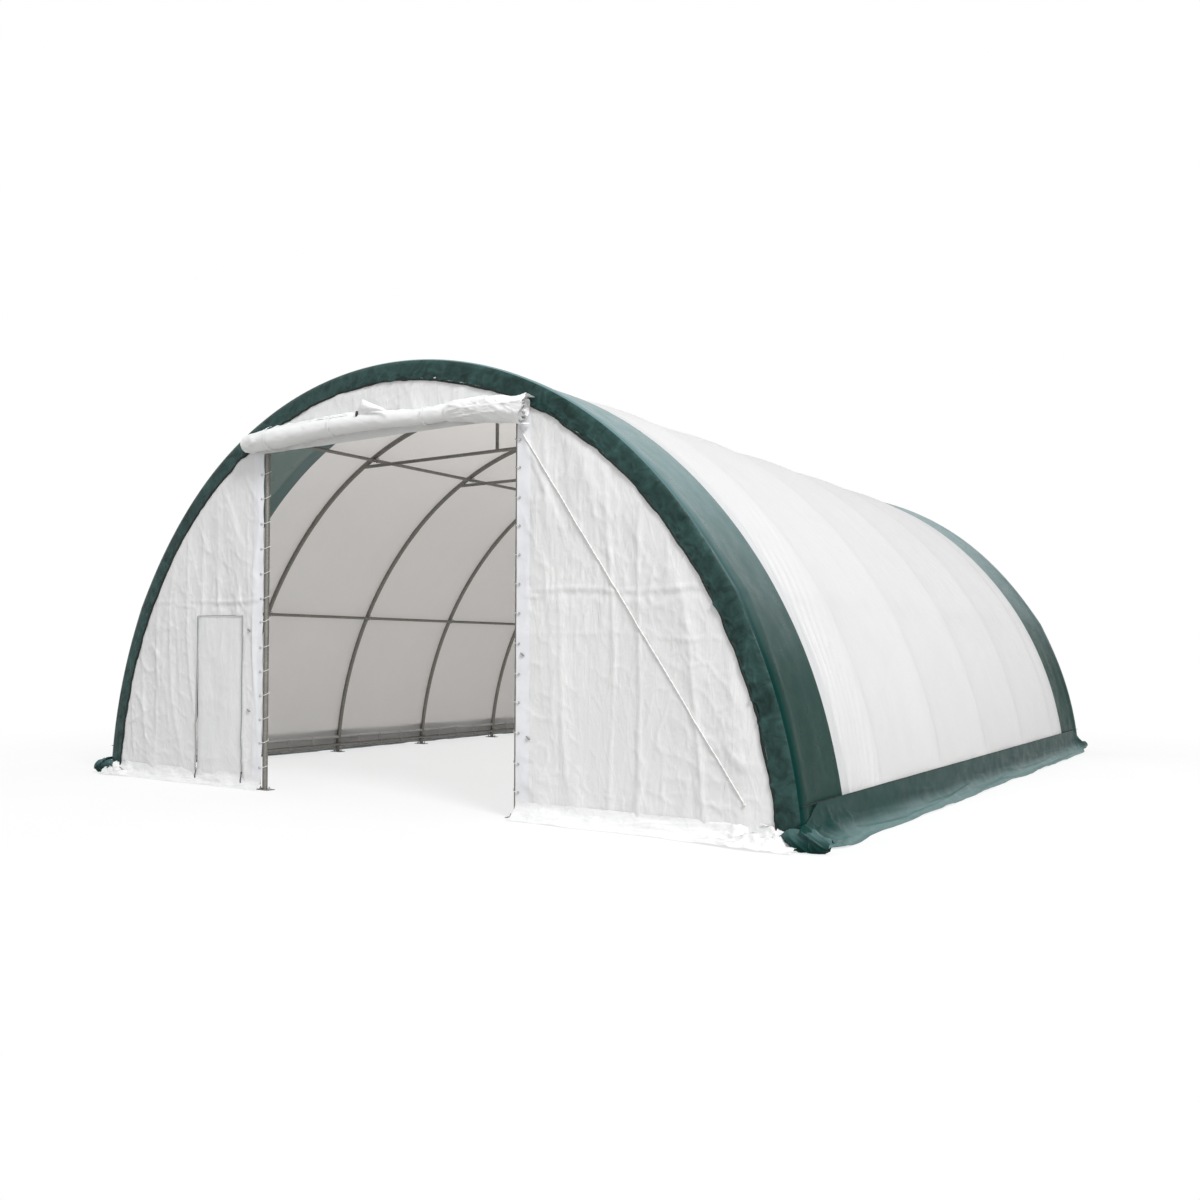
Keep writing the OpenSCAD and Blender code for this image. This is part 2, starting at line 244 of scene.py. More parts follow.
class Bag:
    """Many small solids gathered in one mesh."""

    def __init__(self):
        self.v, self.f = [], []

    def cap(self, base, rows, sides):
        """Close both ends of rows of points."""
        self.f.append(tuple(base + k for k in reversed(range(sides))))
        self.f.append(tuple(base + (rows - 1) * sides + k for k in range(sides)))

    def tube(self, pts, r, sides=8):
        """A round rod along pts; r is its radius, or one radius for each point."""
        pts = [Vector(p) for p in pts]
        n, base = len(pts), len(self.v)
        rs = r if hasattr(r, "__len__") else [r] * n
        prev = None
        for i, p in enumerate(pts):
            d = (pts[min(i + 1, n - 1)] - pts[max(i - 1, 0)]).normalized()
            if prev is None:
                ref = Vector((0, 0, 1)) if abs(d.z) < 0.9 else Vector((1, 0, 0))
                u = d.cross(ref).normalized()
            else:
                u = (prev - d * prev.dot(d)).normalized()
            prev = u
            w = d.cross(u)
            for k in range(sides):
                a = 2 * math.pi * k / sides
                self.v.append(p + (u * math.cos(a) + w * math.sin(a)) * rs[i])
        for i in range(n - 1):
            a0, b0 = base + i * sides, base + (i + 1) * sides
            for k in range(sides):
                k2 = (k + 1) % sides
                self.f.append((a0 + k, a0 + k2, b0 + k2, b0 + k))
        self.cap(base, n, sides)

    def lathe(self, centre, axis, profile, sides=16):
        """A turned solid; profile is a list of (radius, height along axis)."""
        c, ax = Vector(centre), Vector(axis).normalized()
        ref = Vector((0, 0, 1)) if abs(ax.z) < 0.9 else Vector((1, 0, 0))
        u = ax.cross(ref).normalized()
        w = ax.cross(u)
        base = len(self.v)
        for r, h in profile:
            for k in range(sides):
                a = 2 * math.pi * k / sides
                self.v.append(c + ax * h + (u * math.cos(a) + w * math.sin(a)) * r)
        for i in range(len(profile) - 1):
            for k in range(sides):
                k2 = (k + 1) % sides
                a0, b0 = base + i * sides, base + (i + 1) * sides
                self.f.append((a0 + k, a0 + k2, b0 + k2, b0 + k))
        self.cap(base, len(profile), sides)

    def ribbon(self, pts, widths, normal, thick):
        """A flat strap along pts; widths points across, normal out of its face."""
        base = len(self.v)
        n = len(pts)
        for p, w, m in zip(pts, widths, normal):
            p, w, m = Vector(p), Vector(w), Vector(m)
            for a, b in ((-0.5, 0), (0.5, 0), (0.5, 1), (-0.5, 1)):
                self.v.append(p + w * a + m * thick * b)
        for i in range(n - 1):
            a0, b0 = base + i * 4, base + i * 4 + 4
            for k in range(4):
                k2 = (k + 1) % 4
                self.f.append((a0 + k, a0 + k2, b0 + k2, b0 + k))
        self.cap(base, n, 4)

    def done(self, name, mat, slot):
        """Make the object."""
        o = mesh_obj(name, self.v, self.f, mat, None, 40)
        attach(o, "root")
        return o


# ---------------------------------------------------------------- materials
def node(nt, kind, values=()):
    """A new node, with some of its inputs set."""
    n = nt.nodes.new("ShaderNode" + kind)
    for key in values:
        n.inputs[key].default_value = values[key]
    return n


def new_mat(name):
    """An empty material, its node tree and its output."""
    m = bpy.data.materials.new(name)
    m.use_nodes = True
    nt = m.node_tree
    nt.nodes.clear()
    out = node(nt, "OutputMaterial")
    return m, nt, out


def link(nt, a, b):
    nt.links.new(a, b)


def coords(nt, scale=(1, 1, 1), kind="Object"):
    """Coordinates of the object, scaled."""
    tc = node(nt, "TexCoord")
    mp = node(nt, "Mapping", {"Scale": scale})
    link(nt, tc.outputs[kind], mp.inputs["Vector"])
    return mp.outputs["Vector"]


def tex_noise(nt, vec, scale, detail=4, rough=0.55, dist=0.0):
    n = node(nt, "TexNoise", {"Scale": scale, "Detail": detail, "Roughness": rough, "Distortion": dist})
    link(nt, vec, n.inputs["Vector"])
    return n.outputs["Fac"]


def ramp(nt, fac, stops):
    """Colour ramp with the given (place, colour) stops."""
    r = node(nt, "ValToRGB")
    while len(r.color_ramp.elements) < len(stops):
        r.color_ramp.elements.new(0.5)
    for e, (p, c) in zip(r.color_ramp.elements, stops):
        e.position = p
        e.color = (*c, 1) if len(c) == 3 else c
    link(nt, fac, r.inputs["Fac"])
    return r.outputs["Color"]


def math_node(nt, op, a, b=None, c=None):
    """One sum; each input is a number or a socket."""
    n = node(nt, "Math")
    n.operation = op
    for i, v in enumerate((a, b, c)):
        if v is None:
            continue
        if isinstance(v, (int, float)):
            n.inputs[i].default_value = v
        else:
            link(nt, v, n.inputs[i])
    return n.outputs[0]


def bump(nt, height, strength, dist, normal=None):
    b = node(nt, "Bump", {"Strength": strength, "Distance": dist})
    link(nt, height, b.inputs["Height"])
    if normal is not None:
        link(nt, normal, b.inputs["Normal"])
    return b.outputs["Normal"]


def tarpaulin(name, dark, light, rough, through=0.0, glow=(0.8, 0.8, 0.8), spec=0.3, wrinkle=1.0,
              stretch=(1, 1, 1), along=None, mottle_and_crumple_shade_scale=0.9):
    """Coated woven sheet: mottled tone, crumple, fine weave, some light through it.
    A fine, strong mottle is painted crumple shading and painted highlights.
    along = (coordinate kind, axis, from, to, painted light tone, gloss there) fades the tone
    into that painted light tone and raises the gloss: a painted sheen, painted reflection and painted top
    light."""
    m, nt, out = new_mat(name)
    p = node(nt, "BsdfPrincipled")
    v = coords(nt)
    vs = coords(nt, stretch)
    tone = tex_noise(nt, v, mottle_and_crumple_shade_scale, 6, 0.6, 0.3 + 0.15 * mottle_and_crumple_shade_scale)
    col = ramp(nt, tone, [(0.3, dark), (0.7, light)])
    # painted light: along the given coordinate the tone fades to a paler one and the gloss rises, standing
    # for sheen, reflection and top light
    if along:
        kind, axis, a0, a1, painted_light_tone, gloss = along
        reach = abs(a1 - a0)
        sp = node(nt, "SeparateXYZ")
        link(nt, coords(nt, kind=kind), sp.inputs[0])
        wob = math_node(nt, "MULTIPLY_ADD", tex_noise(nt, v, 1.3, 2), 0.25 * reach, sp.outputs[axis])
        mr = node(nt, "MapRange", {"From Min": a0 + 0.12 * reach, "From Max": a1 + 0.12 * reach})
        mr.interpolation_type = "SMOOTHSTEP"
        link(nt, wob, mr.inputs["Value"])
        mc = node(nt, "Mix")
        mc.data_type = "RGBA"
        link(nt, mr.outputs["Result"], mc.inputs["Factor"])
        link(nt, col, mc.inputs[6])
        mc.inputs[7].default_value = (*painted_light_tone, 1)
        col = mc.outputs[2]
        shine = math_node(nt, "MULTIPLY_ADD", mr.outputs["Result"], gloss - spec, spec)
        link(nt, shine, p.inputs["Specular IOR Level"])
    link(nt, col, p.inputs["Base Color"])
    rn = tex_noise(nt, v, 6.0, 3)
    link(nt, ramp(nt, rn, [(0.3, (rough - 0.06,) * 3), (0.7, (rough + 0.08,) * 3)]), p.inputs["Roughness"])
    if not along:
        p.inputs["Specular IOR Level"].default_value = spec
    soft = tex_noise(nt, vs, 4.5, 5, 0.62, 0.5)
    fold = node(nt, "TexVoronoi", {"Scale": 3.1})
    fold.feature = "DISTANCE_TO_EDGE"
    link(nt, vs, fold.inputs["Vector"])
    edge = ramp(nt, fold.outputs["Distance"], [(0.0, (1, 1, 1)), (0.06, (0, 0, 0))])
    weave = None
    for axis in ("X", "Y", "Z"):
        w = node(nt, "TexWave", {"Scale": 55})
        w.wave_type = "BANDS"
        w.bands_direction = axis
        link(nt, v, w.inputs["Vector"])
        weave = w.outputs["Fac"] if weave is None else math_node(nt, "ADD", weave, w.outputs["Fac"])
    n1 = bump(nt, weave, 0.06, 0.0006)
    n2 = n1 if along else bump(nt, edge, 0.22 * wrinkle, 0.004, n1)
    n3 = bump(nt, soft, 0.55 * wrinkle, 0.02, n2)
    link(nt, n3, p.inputs["Normal"])
    if through > 0:
        tr = node(nt, "BsdfTranslucent", {"Color": (*glow, 1)})
        link(nt, n3, tr.inputs["Normal"])
        mx = node(nt, "MixShader", {0: through})
        link(nt, p.outputs[0], mx.inputs[1])
        link(nt, tr.outputs[0], mx.inputs[2])
        link(nt, mx.outputs[0], out.inputs["Surface"])
    else:
        link(nt, p.outputs[0], out.inputs["Surface"])
    return m


def galvanised(name, dark, light, rough=0.5, metal=0.75):
    """Zinc-coated steel: spangle, dull streaks and a little dirt."""
    m, nt, out = new_mat(name)
    p = node(nt, "BsdfPrincipled")
    v = coords(nt)
    vor = node(nt, "TexVoronoi", {"Scale": 45})
    link(nt, v, vor.inputs["Vector"])
    dirt = tex_noise(nt, v, 3.5, 6, 0.65, 0.6)
    soiled = math_node(nt, "MULTIPLY", dirt, 0.8)
    mixf = math_node(nt, "MULTIPLY_ADD", vor.outputs["Distance"], 0.35, soiled)
    link(nt, ramp(nt, mixf, [(0.25, dark), (0.75, light)]), p.inputs["Base Color"])
    p.inputs["Metallic"].default_value = metal
    link(nt, ramp(nt, dirt, [(0.3, (rough - 0.1,) * 3), (0.7, (rough + 0.15,) * 3)]), p.inputs["Roughness"])
    link(nt, bump(nt, tex_noise(nt, v, 60, 3), 0.15, 0.001), p.inputs["Normal"])
    link(nt, p.outputs[0], out.inputs["Surface"])
    return m


def braided(name, dark, light, rough=0.75):
    """Twisted or woven cord and webbing."""
    m, nt, out = new_mat(name)
    p = node(nt, "BsdfPrincipled")
    v = coords(nt)
    w = node(nt, "TexWave", {"Scale": 40, "Distortion": 1.5})
    w.bands_direction = "DIAGONAL"
    link(nt, v, w.inputs["Vector"])
    link(nt, ramp(nt, w.outputs["Fac"], [(0.2, dark), (0.8, light)]), p.inputs["Base Color"])
    p.inputs["Roughness"].default_value = rough
    link(nt, bump(nt, w.outputs["Fac"], 0.5, 0.002), p.inputs["Normal"])
    link(nt, p.outputs[0], out.inputs["Surface"])
    return m


M_COVER = tarpaulin("cover_white", (0.85, 0.85, 0.862), (0.89, 0.89, 0.90), 0.5, 0.36, (0.89, 0.855, 0.82),
                    wrinkle=0.7)
M_WALL = tarpaulin("wall_white", (0.81, 0.81, 0.814), (0.865, 0.865, 0.867), 0.55, 0.12, (0.8, 0.79, 0.77),
                   wrinkle=1.2, stretch=(1.7, 1.7, 0.5))
M_JAMB = tarpaulin("jamb_strip", (0.85, 0.855, 0.885), (0.88, 0.885, 0.915), 0.45, 0.08, wrinkle=0.4)
M_DOOR = tarpaulin("door_flap_white", (0.82, 0.823, 0.83), (0.865, 0.868, 0.875), 0.5, 0.12, (0.8, 0.8, 0.79),
                   stretch=(1.6, 1.6, 0.6))
M_ROLL = tarpaulin("rolled_white", (0.86, 0.86, 0.86), (0.91, 0.91, 0.91), 0.5, 0.08,
                   wrinkle=1.3, stretch=(0.7, 1.5, 1.5))
M_SKIRT = tarpaulin("skirt_white", (0.81, 0.81, 0.812), (0.87, 0.87, 0.87), 0.5, 0.08, wrinkle=1.4)
# green bands: from 1.2 m up to the crown the tone fades to a pale blue-grey and the gloss rises, a painted
# reflection of the bright sky
M_GREEN = tarpaulin("green", (0.002, 0.031, 0.027), (0.005, 0.041, 0.036), 0.32, 0.14, (0.36, 0.37, 0.29),
                    wrinkle=0.25, spec=0.02, along=("Object", 2, 1.2, 4.3, (0.14, 0.25, 0.265), 0.30))
# end rings: a fine, strong mottle from near black to mid green is painted crumple shading and painted
# highlights of the puckered cloth
M_RING = tarpaulin("green_ring", (0.002, 0.016, 0.013), (0.030, 0.078, 0.072), 0.42,
                   wrinkle=1.3, spec=0.22, mottle_and_crumple_shade_scale=5.5)
# green skirts: where the UV v runs from 0.13 to 0.40 the tone fades to a pale blue-grey with more gloss, so
# the part lying on the ground is lighter: painted top light and painted sheen
M_SKIRTG = tarpaulin("green_skirt", (0.005, 0.034, 0.030), (0.010, 0.046, 0.041), 0.38, 0.05,
                     (0.2, 0.22, 0.18),
                     wrinkle=0.4, spec=0.05, stretch=(1.4, 0.3, 1.4),
                     along=("UV", 1, 0.13, 0.40, (0.085, 0.165, 0.165), 0.25))
M_DARK = tarpaulin("dark_edging", (0.010, 0.017, 0.015), (0.018, 0.027, 0.024), 0.6, wrinkle=0.6, spec=0.2)
M_TUBE = galvanised("galvanised_tube", (0.15, 0.145, 0.13), (0.27, 0.26, 0.24))
M_BRACE = galvanised("galvanised_brace", (0.17, 0.165, 0.15), (0.30, 0.29, 0.27))
M_PLATE = galvanised("galvanised_plate", (0.22, 0.22, 0.21), (0.38, 0.38, 0.37), 0.5)
M_BOLT = galvanised("zinc_bolt", (0.35, 0.35, 0.34), (0.5, 0.5, 0.49), 0.35, 0.9)
M_ROPE = braided("rope_white", (0.6, 0.6, 0.58), (0.88, 0.88, 0.86))
M_CORD = braided("lacing_cord", (0.55, 0.55, 0.54), (0.85, 0.85, 0.84))
M_ZIP = braided("zip_grey", (0.16, 0.17, 0.17), (0.28, 0.29, 0.29), 0.6)
# black for the zip pulls, and painted shade in the roll's fold
M_BLACK_AND_SHADE = braided("black_webbing_and_painted_shade", (0.012, 0.013, 0.014), (0.03, 0.032, 0.034), 0.6)

for n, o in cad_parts.items():
    if n.startswith("arch_") or "post" in n and "plates" not in n:
        mat = M_TUBE
    elif "plates" in n:
        mat = M_PLATE
    elif n.startswith("tie_") or "purlin" in n or "rail" in n or "header" in n or "girts" in n:
        mat = M_BRACE
    elif "green" in n or n in ("left_skirt", "right_skirt"):
        mat = M_GREEN
    else:
        mat = M_WALL
    for material_slot in o.material_slots:
        material_slot.material = mat

# ---------------------------------------------------------------- main cover
S_HEM = s_at(HEM)
S_KINK = s_at(2.09)
DENS = 1.0 if FINE else 0.6


def cover_shape(s, y, seed=3):
    """How far the taut sheet stands out from its line, in metres."""
    bay = np.floor((y + ARCH_Y) / BAY)
    t = (y + ARCH_Y) / BAY - bay
    to_arch = np.minimum(t, 1 - t) * BAY
    q = (np.sqrt(to_arch ** 2 + 0.03 ** 2) - 0.03) / BAY
    a = np.abs(s)
    low = smooth(0.8, 4.0, a) - 0.45 * smooth(S_HEM - 0.7, S_HEM, a)
    depth = (0.020 + 0.026 * low) * (1 + 0.22 * noise(bay * 3.7 + 0.5, s * 0.3, seed + 1))
    sag = -depth * 4 * q * (1 - q)
    soft = 0.004 * fbm(s * 0.8, y * 1.9, seed) * smooth(0.05, 0.4, to_arch)
    # near upright pleats in the first and the last bay
    side = np.minimum(y + ARCH_Y, ARCH_Y - y)
    pos = (side + 0.30 * (a - S_KINK)) / 0.14
    pos = pos + 1.1 * noise(s * 0.45, y * 1.9, seed + 7) + 0.25 * noise(s * 2.1, y * 4.0, seed + 8)
    first = smooth(1.0, 1.2, side) * smooth(2.15, 1.75, side) * smooth(S_KINK - 2.2, S_KINK + 0.1, a)
    gate = smooth(-0.35, 0.5, noise(s * 0.6 + 3, y * 3.1, seed + 9))
    pleat = 0.013 * first * ridge(pos, 1.4, 0.36) * (0.15 + 0.85 * gate)
    # short slanted wrinkles towards the next arch
    pos = (a * 0.75 + side * 0.7) / 0.17 + 0.6 * noise(s * 0.9, y * 0.9, seed + 12)
    patch = smooth(0.05, 0.75, noise(s * 0.55 + 1.7, bay * 2.3 + t * 1.3, seed + 15))
    patch = patch * bell(t * BAY, 0.78 * BAY, 0.42) * smooth(1.2, 2.4, a) * smooth(6.2, 4.6, a)
    tick = 0.0075 * ridge(pos, 1.6, 0.3) * patch
    hem = 0.005 * smooth(S_HEM - 0.6, S_HEM, a) * noise(s * 2, y * 5, seed + 9)
    seam = 0.0022 * bell(t * BAY, 0.5 * BAY, 0.02)
    kink = 0.012 * np.exp(-np.abs(a - S_KINK) / 0.30) * smooth(0.6, 0.1, to_arch)
    w = sag + soft + pleat + tick + hem + seam + kink
    # the sheet stops short of the purlins
    deep = -0.04 - 0.018 * (1 - np.exp(np.minimum(w + 0.04, 0) / 0.018))
    return np.where(w < -0.04, deep, w)


def main_cover():
    """The white sheet between the bands, with closer rows in the end bays."""
    y_lo, y_hi = -END + BAND - 0.02, END - BAND + 0.02
    ys = np.concatenate([np.linspace(y_lo, y_lo + 1.3, int(118 * DENS)),
                         np.linspace(y_lo + 1.3, y_hi - 1.3, int(190 * DENS))[1:],
                         np.linspace(y_hi - 1.3, y_hi, int(70 * DENS))[1:]])
    S, Y = grid(np.linspace(-S_HEM, S_HEM, int(236 * DENS)), ys)
    x, z, nx, nz = arc(S)
    w = cover_shape(S, Y) - 0.0035
    cover = cloth("cover_cloth", points(x + nx * w, Y, z + nz * w), M_COVER, uv=points(S, Y))
    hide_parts("white_cover")


main_cover()

# ---------------------------------------------------------------- green end bands
def end_band(name, sign, node, seed):
    """Roof part, rounded corner over the end arch and the ring drawn in over the end wall."""
    rc = 0.05
    sec = [(0.0, t, 0.0) for t in np.linspace(BAND + 0.17, rc, int(29 * DENS))]
    for k in range(1, 7):
        a = k / 6 * math.pi / 2
        sec.append((rc - rc * math.cos(a), rc - rc * math.sin(a), a))
    for d in np.linspace(rc, RING, int(18 * DENS))[1:]:
        sec.append((d, 0.0, math.pi / 2))
    sec = np.array(sec)
    ns = int(970 * DENS)
    s = np.linspace(-S_HEM, S_HEM, ns)
    S, D = grid(s, sec[:, 0])
    Yl, A = grid(s, sec[:, 1])[1], grid(s, sec[:, 2])[1]
    yrow = sign * (END - Yl)
    fade = smooth(0.05, 0.25, Yl)
    roof = cover_shape(S, yrow) * fade
    aS = np.abs(S)
    kink = 0.024 * np.exp(-np.abs(aS - S_KINK) / 0.35) * smooth(BAND - 0.03, 0.6, Yl)
    fold = 0.010 * np.exp(-np.abs(Yl - 0.16 - 0.05 * wave(S, 0.8, seed + 3)) / 0.05) * smooth(3.2, 4.6, aS)
    panel = 0.007 * fbm(S * 0.7, Yl * 1.6, seed + 2, 3) * fade * smooth(BAND - 0.03, BAND - 0.3, Yl)
    under = 0.0045 + 0.004 * smooth(BAND - 0.03, BAND + 0.01, Yl)
    # ring: radial puckers that deepen towards the drawn-in hem
    ring = (A > 1.5).astype(float)
    f = np.clip(D / RING, 0, 1) * ring
    gather = 0.25 + 0.75 * smooth(-0.45, 0.35, wave(S, 1.1, seed + 6, 2.5))
    pos = S / 0.16 + 1.1 * wave(S, 1.7, seed + 4) + D * (2.2 + 3.0 * wave(S, 0.6, seed + 5, 5))
    puck = ridge(pos, 1.5, 0.3)
    wr = creases(S * 6.5 + D * 8, D * 13 - S * 2.0, seed + 11) - 0.4
    ringw = (smooth(0.25, 1.0, f) * gather * (0.020 * puck * f + 0.013 * wr)
             + 0.004 * np.sin(math.pi * f) * ring)
    inner = D + f * f * gather * (0.011 * puck + 0.004 * wave(S, 14, seed + 13))
    x, z, nx, nz = arc(S)
    lift = (roof + kink + fold + panel) * np.cos(A) ** 2
    depth = inner + under - lift
    Y = sign * (END - Yl + 0.003 * np.sin(A) + np.clip(ringw + 0.006 * ring * f, -0.004, 0.03) - 0.001)
    P = points(x - nx * depth, Y, z - nz * depth)
    o = cloth(name, P, M_GREEN, uv=points(S, Yl - D))
    o.data.materials.append(M_RING)
    mid = np.empty(len(o.data.polygons) * 3)
    o.data.polygons.foreach_get("center", mid)
    o.data.polygons.foreach_set("material_index", (np.abs(mid[1::3]) > END - 0.012).astype(int))
    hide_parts(node)
    # near-black tube along the ring's inner edge, and the slack cloth bunched beside it
    b = Bag()
    ss = np.linspace(-S_HEM + 0.05, S_HEM - 0.05, int(900 * DENS))
    xx, zz, ax, az = arc(ss)
    dd = RING + 0.006 + 0.010 * wave(ss, 5.0, seed + 21) + 0.005 * wave(ss, 14, seed + 23)
    yy = sign * (END + 0.003 + 0.004 * wave(ss, 9, seed + 22))
    rr = 0.011 + 0.005 * np.maximum(0, wave(ss, 7, seed + 25))
    b.tube(points(xx - ax * dd, yy, zz - az * dd).tolist(), rr.tolist(), 7)
    b.done(name.replace("band_cloth", "ring_inner_dark_tube"), M_DARK, "green_tarpaulin")
    return o


end_band("front_band_cloth", -1, "front_green_band", 41)
end_band("rear_band_cloth", 1, "rear_green_band", 57)


# ---------------------------------------------------------------- end walls
def wall_relief(x, z, seed, jamb=True):
    """Outward relief of an end wall sheet."""
    inset = inset_of(x, z)
    calm = 0.3 * smooth(0.04, 0.2, inset) + 0.7 * smooth(0.22, 0.55, inset)
    wide = 0.012 * fbm(x * 1.5, z * 0.45, seed, 2)
    pos = x * 3.6 + 0.55 * noise(x * 1.1, z * 0.55, seed + 1) + 0.10 * z
    v = 0.013 * ((1 - np.abs(noise(pos, z * 0.38 + 0.2 * x, seed + 2))) ** 3 - 0.35)
    v2 = 0.0075 * creases(x * 5.2 + 0.3 * z, z * 0.75, seed + 5, 2) * smooth(-0.4, 0.5,
                                                                             noise(x * 0.9, z * 0.7, seed
                                                                                   + 4))
    fan = 0.0085 * creases(x * 2.8 + z * 1.5, z * 1.1 - x * 0.55, seed + 8, 2) * smooth(1.7, 2.9, z)
    fine = 0.0040 * creases(x * 6.5 - z * 2.0, z * 4.2 + x * 2.2, seed + 14, 2)
    edge = smooth(1.1, 0.35, inset)
    crump = 0.013 * edge * smooth(2.6, 1.2,
                                  z) * (creases(x * 2.6 + z * 1.9, z * 2.4 - x * 1.2, seed + 17, 3) - 0.35)
    zc = 2.14 + 0.025 * wave(x, 1.3, seed + 12)
    line = 0.011 * bell(z, zc, 0.02) - 0.006 * np.exp(-(((z - zc + 0.055) / 0.03) ** 2))
    line2 = 0.005 * np.exp(-(((z - 1.72 - 0.03 * wave(x, 1.1, seed + 13)) / 0.02) ** 2))
    near = bell(z, zc, 0.20)
    tick = 0.009 * near * (creases(x * 5.0, z * 3.6, seed + 15, 2) - 0.25)
    foot = 0.006 * bell(z, 0.36, 0.14) * (creases(x * 3.4, z * 5.0, seed + 19, 2) - 0.2)
    out = (wide + v + v2 + fan + fine + crump + tick + foot + 0.004) * calm
    out = out + (line + line2) * smooth(0.05, 0.3, inset) * (0.6 + 0.4 * wave(x, 2.0, seed + 16))
    if jamb:
        e = np.abs(x) - PANEL_EDGE
        k = np.exp(-np.maximum(e, 0) / 0.10)
        out = out * smooth(0.0, 0.16, e + 0.02) + 0.003 * k * np.sin(2 * math.pi * z / 0.28)
    top = 0.004 + 0.035 * smooth(0.24, 0.5, inset)
    return np.clip(out, -0.004, top) + 0.001


def wall_side(name, sg, nodes, mat, seed):
    """Front wall beside the doorway, with the man door left out on the left."""
    xs_in, xs_out = PANEL_EDGE, half_x(HEM, WALL_IN)
    cols = [np.linspace(xs_in, DOOR_IN, int(18 * DENS)), np.linspace(DOOR_IN, DOOR_OUT, int(46 * DENS))[1:],
            np.linspace(DOOR_OUT, float(xs_out), int(104 * DENS))[1:]]
    xs = np.concatenate(cols)
    zs = np.concatenate([np.linspace(HEM, DOOR[2], int(108 * DENS)),
                         np.linspace(DOOR[2], float(crown_z(xs_in, WALL_IN)), int(112 * DENS))[1:]])
    Z, X = grid(zs, xs)
    lim = half_x(Z, WALL_IN)
    Xc = np.minimum(X, lim)
    w = wall_relief(Xc * sg, Z, seed)
    P = points(Xc * sg, PANEL_Y - w + 0 * Z, Z)
    keep = None
    if sg < 0:
        xm = (X[:-1, :-1] + X[1:, 1:]) / 2
        zm = (Z[:-1, :-1] + Z[1:, 1:]) / 2
        keep = ~((xm > DOOR_IN) & (xm < DOOR_OUT) & (zm < DOOR[2]))
    o = cloth(name, P, mat, uv=points(X, Z), keep=keep)
    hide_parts(*nodes)
    return o


DOOR_IN, DOOR_OUT = -DOOR[1], -DOOR[0]
lw = wall_side("front_left_wall_cloth", -1, ["front_left_panel"], M_WALL, LEFT_SEED)
rw = wall_side("front_right_wall_cloth", 1, ["front_right_panel"], M_WALL, RIGHT_SEED)

TOP_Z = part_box("front_top_panel")[0][2]
xs = np.linspace(-PANEL_EDGE, PANEL_EDGE, int(150 * DENS))
vs = np.linspace(0, 1, int(40 * DENS))
V, X = grid(vs, xs)
Z = TOP_Z + V * (crown_z(X, WALL_IN) - TOP_Z)
w = wall_relief(X, Z, 91, False) + 0.006 * creases(X * 1.6 + Z, Z * 4 - X, 95, 2) * smooth(1, 0.6, V)
tw = cloth("front_top_wall_cloth", points(X, PANEL_Y - w, Z), M_WALL, uv=points(X, Z))
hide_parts("front_top_panel")

# rear wall, one closed sheet
zs = np.linspace(HEM, float(crown_z(0, 0.07)), int(110 * DENS))
us = np.linspace(-1, 1, int(190 * DENS))
Z, U = grid(zs, us)
X = U * half_x(Z, WALL_IN)
w = wall_relief(X, Z, 131, False)
rear = cloth("rear_wall_cloth", points(X, END - T + w, Z), M_WALL, uv=points(X, Z))
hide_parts("rear_wall")

# hem strips along both jambs, smooth and slightly blue
for sg, nm in ((-1, "left"), (1, "right")):
    x0, x1 = PANEL_EDGE - 0.004, PANEL_EDGE + 0.15
    zz = np.linspace(HEM + 0.02, ROLL[0][2] + 0.06, int(160 * DENS))
    xx = np.linspace(x0, x1, 9)
    Z, X = grid(zz, xx)
    w = (wall_relief(X * sg, Z, LEFT_SEED if sg < 0 else RIGHT_SEED) + 0.0035
         + 0.0015 * noise(Z * 3, X * 8, 301))
    edge = 0.003 * np.sin(2 * math.pi * Z / 0.28) * (X < x0 + 0.01)
    P = points((X + edge) * sg, PANEL_Y - w, Z)
    o = cloth(f"{nm}_jamb_hem", P, M_JAMB, uv=points(X, Z))

# ---------------------------------------------------------------- man door
xs = np.linspace(DOOR[0] + 0.004, DOOR[1] - 0.004, int(44 * DENS))
zs = np.linspace(HEM + 0.02, DOOR[2] - 0.003, int(110 * DENS))
Z, X = grid(zs, xs)
e = np.minimum(X - DOOR[0], DOOR[1] - X)
w = (0.002
     + smooth(0, 0.1, e) * (0.006 * fbm(X * 3.0, Z * 0.9, 401, 3)
                            + 0.004 * creases(X * 3.5, Z * 1.6, 405, 3) + 0.004))
flap = cloth("man_door_flap", points(X, PANEL_Y - w, Z), M_DOOR, uv=points(X, Z))
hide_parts("man_door")
# zips: tape and coil each side, a stitched seam over the head
zt, zc_ = Bag(), Bag()
for xz in DOOR[:2]:
    zz = np.linspace(0.16, DOOR[2], 40)
    pts = [(xz, PANEL_Y - 0.0065 - max(0.0, float(wall_relief(np.array(xz), np.array(q), LEFT_SEED))),
            float(q)) for q in zz]
    zt.ribbon(pts, [(0.022, 0, 0)] * len(pts), [(0, -1, 0)] * len(pts), 0.0012)
    zc_.tube([(p[0], p[1] - 0.003, p[2]) for p in pts], 0.0055, 6)
head = [(x, PANEL_Y - 0.0085, DOOR[2]) for x in np.linspace(DOOR[0], DOOR[1], 24)]
zt.ribbon(head, [(0, 0, 0.018)] * len(head), [(0, -1, 0)] * len(head), 0.0012)
zc_.tube([(p[0], p[1] - 0.0015, p[2] + 0.004) for p in head], 0.0035, 6)
zt.done("man_door_zip_tapes", M_DOOR, "door_flap_tarpaulin")
zc_.done("man_door_zip_coils", M_ZIP, "door_flap_tarpaulin")
zp = Bag()
